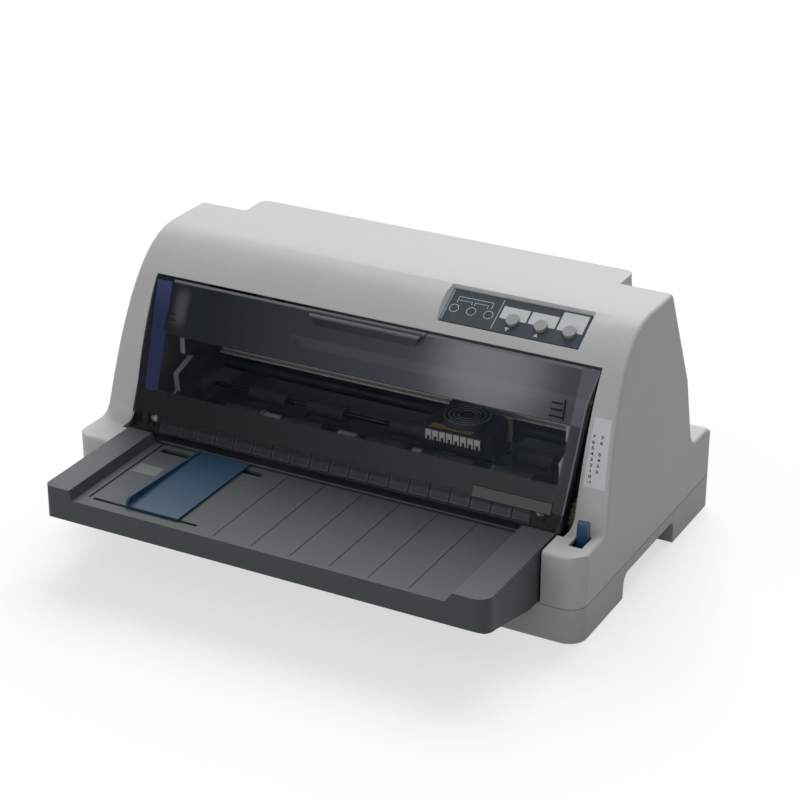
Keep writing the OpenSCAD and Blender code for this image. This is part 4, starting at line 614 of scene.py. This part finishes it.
ASSIGNED = {
    "upper_case": CASE_LIGHT,
    "rear_cover": CASE_LIGHT,
    "lower_case": CASE_BASE,
    "rubber_feet": FOOT_RUBBER,
    "front_tray": TRAY_GREY,
    "edge_guide": GUIDE_BLUE,
    "front_cover": SMOKED,
    "cover_guide_ribs": SMOKED_RIBS,
    "cover_name_plate": PLATE_GREY,
    "scale_label": SCALE_PAPER,
    "thickness_lever": LEVER_BLUE,
    "panel_plate": PANEL_SLATE,
    "indicator_lenses": LENS_GREY,
    "panel_board": PANEL_BOARD,
    "button_left": BUTTON_GREY,
    "button_middle": BUTTON_GREY,
    "button_right": BUTTON_GREY,
    "rocker_housing": SOCKET_BLACK,
    "power_rocker": SOCKET_BLACK,
    "ac_inlet": SOCKET_BLACK,
    "parallel_port": ZINC_STEEL,
    "usb_port": ZINC_STEEL,
    "main_board": MAIN_BOARD,
    "power_supply": SHEET_STEEL,
    "chassis": SHEET_STEEL,
    "side_frame_left": FRAME_STEEL,
    "side_frame_right": FRAME_STEEL,
    "front_paper_guide": COMB_CHARCOAL,
    "rear_paper_guide": BED_CHARCOAL,
    "platen": PLATEN_RUBBER,
    "carriage_shaft": OILED_STEEL,
    "carriage_rail": RAIL_PALE,
    "carriage": WORKS_BLACK,
    "print_head": HEAD_ALUMINIUM,
    "head_connector": TERMINAL_WHITE,
    "ribbon_mask": MASK_STEEL,
    "carriage_bracket": CREAM_STEEL,
    "carriage_motor": CAN_STEEL,
    "drive_pulley": GEAR_ACETAL,
    "idler_pulley": GEAR_ACETAL,
    "timing_belt": BELT_RUBBER,
    "front_feed_roller": FRONT_FEED,
    "rear_feed_roller": REAR_FEED,
    "front_pinch_rollers": FRONT_PINCH,
    "rear_pinch_rollers": REAR_PINCH,
    "feed_motor": CAN_STEEL,
    "motor_pinion": PINION_BRASS,
    "rear_roller_gear": GEAR_ACETAL,
    "front_roller_gear": GEAR_ACETAL,
    "feed_idler_gear": GEAR_ACETAL,
    "tractor_idler_gear": GEAR_ACETAL,
    "tractor_shaft": SHAFT_STEEL,
    "tractor_rail": SHAFT_STEEL,
    "tractor_frame_left": WORKS_BLACK,
    "tractor_frame_right": WORKS_BLACK,
    "tractor_wheel_left": GEAR_ACETAL,
    "tractor_wheel_right": GEAR_ACETAL,
    "tractor_lid_left": WORKS_BLACK,
    "tractor_lid_right": WORKS_BLACK,
    "case_screws": ZINC_STEEL,
}
for node_name, node in NODES.items():
    node.data.materials.clear()
    node.data.materials.append(ASSIGNED[node_name])
    # Flat faces stay flat and rounded ones shade smoothly, split at the corners.
    node.modifiers.new("weld", "WELD").merge_threshold = WELD / 1000
    split = node.modifiers.new("corners", "EDGE_SPLIT")
    split.split_angle, split.use_edge_sharp = math.radians(CORNER), False
    node.modifiers.new("flat_faces", "WEIGHTED_NORMAL").mode = "FACE_AREA"


# Added pieces


class Plane:
    """A flat place on the printer. Points are along X, up the slope and above the surface."""

    def __init__(self, foot, tilt):
        self.foot = foot
        self.up, self.out = slopes(tilt)

    def __call__(self, x, s, n):
        return self.foot + Vector((x, 0, 0)) + s * self.up + n * self.out


ON_COVER = Plane(COVER_FOOT, COVER_TILT)
ON_PANEL = Plane(PANEL_FOOT, PANEL_TILT)
ON_TRAY = Plane(Vector((0, 0, TRAY_TOP)), 0)
ON_BLOCK = Plane(Vector((0, 0, BLOCK_TOP)), 0)
ON_HEAD = Plane(Vector((0, 0, HEAD_TOP)), 0)


def rect(x0, x1, s0, s1):
    return [(x0, s0), (x1, s0), (x1, s1), (x0, s1)]


def line(p, q, width):
    """The outline of a straight stroke from p to q."""
    (px, ps), (qx, qs) = p, q
    k = width / 2 / math.hypot(qx - px, qs - ps)
    across, up = (qs - ps) * k, (qx - px) * k
    return [(px + across, ps - up), (qx + across, qs - up), (qx - across, qs + up), (px - across, ps + up)]


def ring(x, s, inner, outer, sides=32):
    """The outlines of a ring, as short four-sided pieces."""
    turns = [2 * math.pi * i / sides for i in range(sides + 1)]
    spot = lambda r, a: (x + r * math.cos(a), s + r * math.sin(a))
    return [[spot(inner, b), spot(inner, a), spot(outer, a), spot(outer, b)] for a, b in zip(turns, turns[1:])]


def prisms(name, outlines, start, end, material, body):
    """One piece made of prisms. Start and end place an outline's point on a prism's two end faces."""
    points, faces = [], []
    for outline in outlines:
        k, first = len(outline), len(points)
        points += [start(*p) for p in outline] + [end(*p) for p in outline]
        faces.append([first + i for i in reversed(range(k))])
        faces.append([first + k + i for i in range(k)])
        faces += [[first + i, first + (i + 1) % k, first + k + (i + 1) % k, first + k + i] for i in range(k)]
    made = made_of(faces, points, name, material)
    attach(made, body)


def raised(name, outlines, plane, height, material, body):
    """One piece made of flat shapes that stand on a plane."""
    prisms(name, outlines, lambda x, s: plane(x, s, 0), lambda x, s: plane(x, s, height), material, body)


def turned(name, profile, at, along, material, body, sides=32):
    """A turned piece. Its profile lists (radius, distance along the axis), and starts and ends on the axis."""
    ahead = Vector(along).normalized()
    side = ahead.orthogonal().normalized()
    over = ahead.cross(side)
    points = [Vector(at) + ahead * profile[0][1], Vector(at) + ahead * profile[-1][1]]
    for radius, reach in profile[1:-1]:
        for i in range(sides):
            turn = 2 * math.pi * i / sides
            points.append(Vector(at) + ahead * reach + radius * (math.cos(turn) * side + math.sin(turn) * over))
    last, spot = len(profile) - 3, lambda row, i: 2 + row * sides + i % sides
    faces = [(0, spot(0, i + 1), spot(0, i)) for i in range(sides)]
    faces += [
        (spot(row, i), spot(row, i + 1), spot(row + 1, i + 1), spot(row + 1, i))
        for row in range(last)
        for i in range(sides)
    ]
    faces += [(1, spot(last, i), spot(last, i + 1)) for i in range(sides)]
    made = made_of(faces, points, name, material)
    for polygon in made.data.polygons:
        polygon.use_smooth = True
    made.modifiers.new("corners", "EDGE_SPLIT").split_angle = math.radians(CORNER)
    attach(made, body)


# Snap-on caps hold the cover's pins in the side frames.
for side_name, side in (("left", -1), ("right", 1)):
    turned(
        "pin_cap_" + side_name,
        [(0, -2.9), (2.6, -2.9), (3.0, -2.6), (3.2, -2.1), (3.2, -0.5), (2.9, 0), (0, 0)],
        (side * HINGE_X, HINGE_Y, HINGE_Z), (side, 0, 0), GEAR_ACETAL, "front_cover",
    )
# Pale edge trims on the side frames' cut edges keep the head's cable from chafing. Their outlines are in (Y, Z).
TRIM_OUTLINES = (
    [(-5.8, 105.0), (-4.9, 105.0), (-4.9, 116.8), (-5.8, 116.8)],
    [(4.9, 98.8), (4.6, 99.65), (-15.9, 93.35), (-14.4, 79.2), (-13.5, 79.2), (-14.7, 92.7)],
)
for side_name, x0, x1 in (("left", -150.7, -147.0), ("right", 147.4, 150.7)):
    prisms(
        "frame_trim_" + side_name, TRIM_OUTLINES,
        lambda y, z: (x0, y, z), lambda y, z: (x1, y, z), TRIM_GREY, "case",
    )
# The pan head screw of the carriage's bracket.
turned(
    "bracket_screw",
    [(0, 0), (2.6, 0), (2.6, 0.9), (2.2, 1.5), (1.3, 1.9), (1.1, 1.3), (0, 1.1)],
    (84.5, 36.5, 76.5), (0, -1, 0), ZINC_STEEL, "carriage",
)

# Print on the control panel: rings round the indicators, brackets between them, a divider, the border's left line and
# two arrows. Each stroke is its two ends and its width.
PANEL_STROKES = (
    ((55, 21.8), (80.2, 21.8), 0.4),
    ((55, 16.6), (55, 21.8), 0.4),
    ((80.2, 16.6), (80.2, 21.8), 0.4),
    ((67.6, 18.9), (77.4, 18.9), 0.35),
    ((67.6, 16.6), (67.6, 18.9), 0.35),
    ((77.4, 16.2), (77.4, 18.9), 0.35),
    ((86.3, 1.6), (86.3, 26.2), 0.45),
    ((56.0, 18.9), (65.6, 18.9), 0.3),
    ((65.6, 16.6), (65.6, 18.9), 0.3),
    ((49.7, 1.6), (49.7, 26.2), 0.4),
)
PANEL_ARROWS = [[(96.9, 1.9), (98.7, 5.0), (95.1, 5.0)], [(116.2, 2.2), (119.8, 2.2), (118.0, 5.3)]]
raised(
    "panel_print",
    [q for x in INDICATORS for q in ring(x, INDICATOR_UP, 2.95, 3.4)]
    + [line(*stroke) for stroke in PANEL_STROKES]
    + PANEL_ARROWS,
    ON_PANEL, 0.06, INK_WHITE, "case",
)
# Three bare fields above the buttons.
raised(
    "panel_fields",
    [rect(88.2, 107.4, 11.4, 21.4), rect(108.8, 128.0, 11.4, 21.4), rect(129.4, 147.6, 11.4, 26.4)],
    ON_PANEL, 0.05, INK_WHITE, "case",
)

# The strip and the paper width marks on the cover.
raised(
    "cover_strip",
    [[(-159.3, 28.6), (-149.0, 28.6), (-155.1, 105.4), (-167.6, 105.4)]],
    ON_COVER, 0.06, STRIP_BLUE, "front_cover",
)
raised(
    "cover_marks_and_painted_shadow",
    [line((-153.8, u), (end, u), 1.1) for u, end in ((83.5, -147.3), (79.5, -146.6), (72.8, -145.4))]
    + [line((-153.9, 70.6), (-153.9, 85.2), 0.8)]
    + [line((141.1, u), (end, u), 1.2) for u, end in ((81.2, 148.9), (76.9, 149.6), (72.5, 150.4))]
    + [line((151.1, 70.6), (150.1, 84.4), 1.1)]
    # A thin painted shadow line round the name plate's seat.
    + [rect(99.5, 157.0, 17.2, 17.7), rect(99.5, 157.0, 9.5, 10.0)]
    + [rect(99.5, 100.0, 10.0, 17.2), rect(156.5, 157.0, 10.0, 17.2)],
    ON_COVER, 0.06, INK_BLACK, "front_cover",
)

# Bare labels on the tray and on the print head, and two short marks for the guide's end positions.
raised(
    "tray_marks",
    [line((-132.5, -125.5), (-120.0, -125.5), 0.35), line((-62.6, -75.1), (-52.0, -75.1), 0.35)],
    ON_TRAY, 0.05, LABEL_TRAY, "case",
)
raised(
    "tray_label",
    [[(-132.6, -97.5), (-113.8, -97.2), (-114.5, -84.9), (-133.7, -83.8)]],
    ON_TRAY, 0.1, LABEL_TRAY, "case",
)
# The head's label is cut out round the needle guide.
HEAD_LABEL = [
    (45, -0.7), (76.5, -0.7), (76.5, 4.4), (73, 3.2), (69, 1.8), (64, 1.1), (59, 1.8), (55, 3.2), (51.5, 4.8), (45, 4.8)
]
raised("head_label", [HEAD_LABEL], ON_HEAD, 0.12, LABEL_OCHRE, "carriage")

# Plain moulded marks beside the lever's slot.
raised(
    "block_marks",
    [
        line((170.6, -50.5), (170.6, -56.5), 0.7),
        line((172.4, -50.5), (172.4, -53.5), 0.7),
        line((168.4, -61.0), (173.0, -61.0), 0.7),
    ],
    ON_BLOCK, 0.25, CASE_LIGHT, "case",
)

# The lever's scale: two columns of plain numbers, each with its place across the printer and its height.
NUMBERS = [(str(7 - i), 174.2 + 0.2 * i, 121.9 - 3.5 * i) for i in range(9)]
NUMBERS += [(str(7 - i), 180.0, z) for i, z in enumerate((122.1, 118.7, 111.8, 108.2, 104.6, 101.0))]
# The numbers' size, stretched in width and height, how much bolder than the font they are, and how thick the ink is.
NUMBER_SIZE, NUMBER_STRETCH, NUMBER_BOLDER, NUMBER_INK = 3.1, (1.35, 0.88), 0.08, 0.03
# The ink's middle lies this far above the label, which is looked for from this far outside it and from in front of it.
NUMBER_ABOVE, LOOK_FROM, IN_FRONT = 0.05, 4, -90

# Each number is laid on the label's curve, point by point.
label = NODES["scale_label"].data
label_surface = BVHTree.FromPolygons([v.co for v in label.vertices], [p.vertices for p in label.polygons])
number_points, number_faces = [], []
for text, x, z in NUMBERS:
    hit, normal, _, _ = label_surface.ray_cast(mm(x, IN_FRONT, z), Vector((0, 1, 0)))
    font = bpy.data.curves.new("number", "FONT")
    font.body, font.size = text, NUMBER_SIZE / 1000
    font.extrude, font.offset = NUMBER_INK / 1000, NUMBER_BOLDER / 1000
    font.align_x, font.align_y = "CENTER", "CENTER"
    written = bpy.data.objects.new("number", font)
    glyphs = bpy.data.meshes.new_from_object(written)
    side = Vector((1, 0, 0))
    side = (side - side.dot(normal) * normal).normalized()
    turn = Matrix((side, normal.cross(side), normal)).transposed()
    first = len(number_points)
    for v in glyphs.vertices:
        flat = Vector((NUMBER_STRETCH[0] * v.co.x, NUMBER_STRETCH[1] * v.co.y, 0))
        laid = label_surface.ray_cast(hit + turn @ flat + LOOK_FROM / 1000 * normal, -normal)[0]
        number_points.append((laid + (NUMBER_ABOVE / 1000 + v.co.z) * normal) * 1000)
    number_faces += [[first + i for i in p.vertices] for p in glyphs.polygons]
    bpy.data.objects.remove(written)
    bpy.data.curves.remove(font)
    bpy.data.meshes.remove(glyphs)
scale_numbers = made_of(number_faces, number_points, "scale_numbers", INK_BLACK)
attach(scale_numbers, "case")
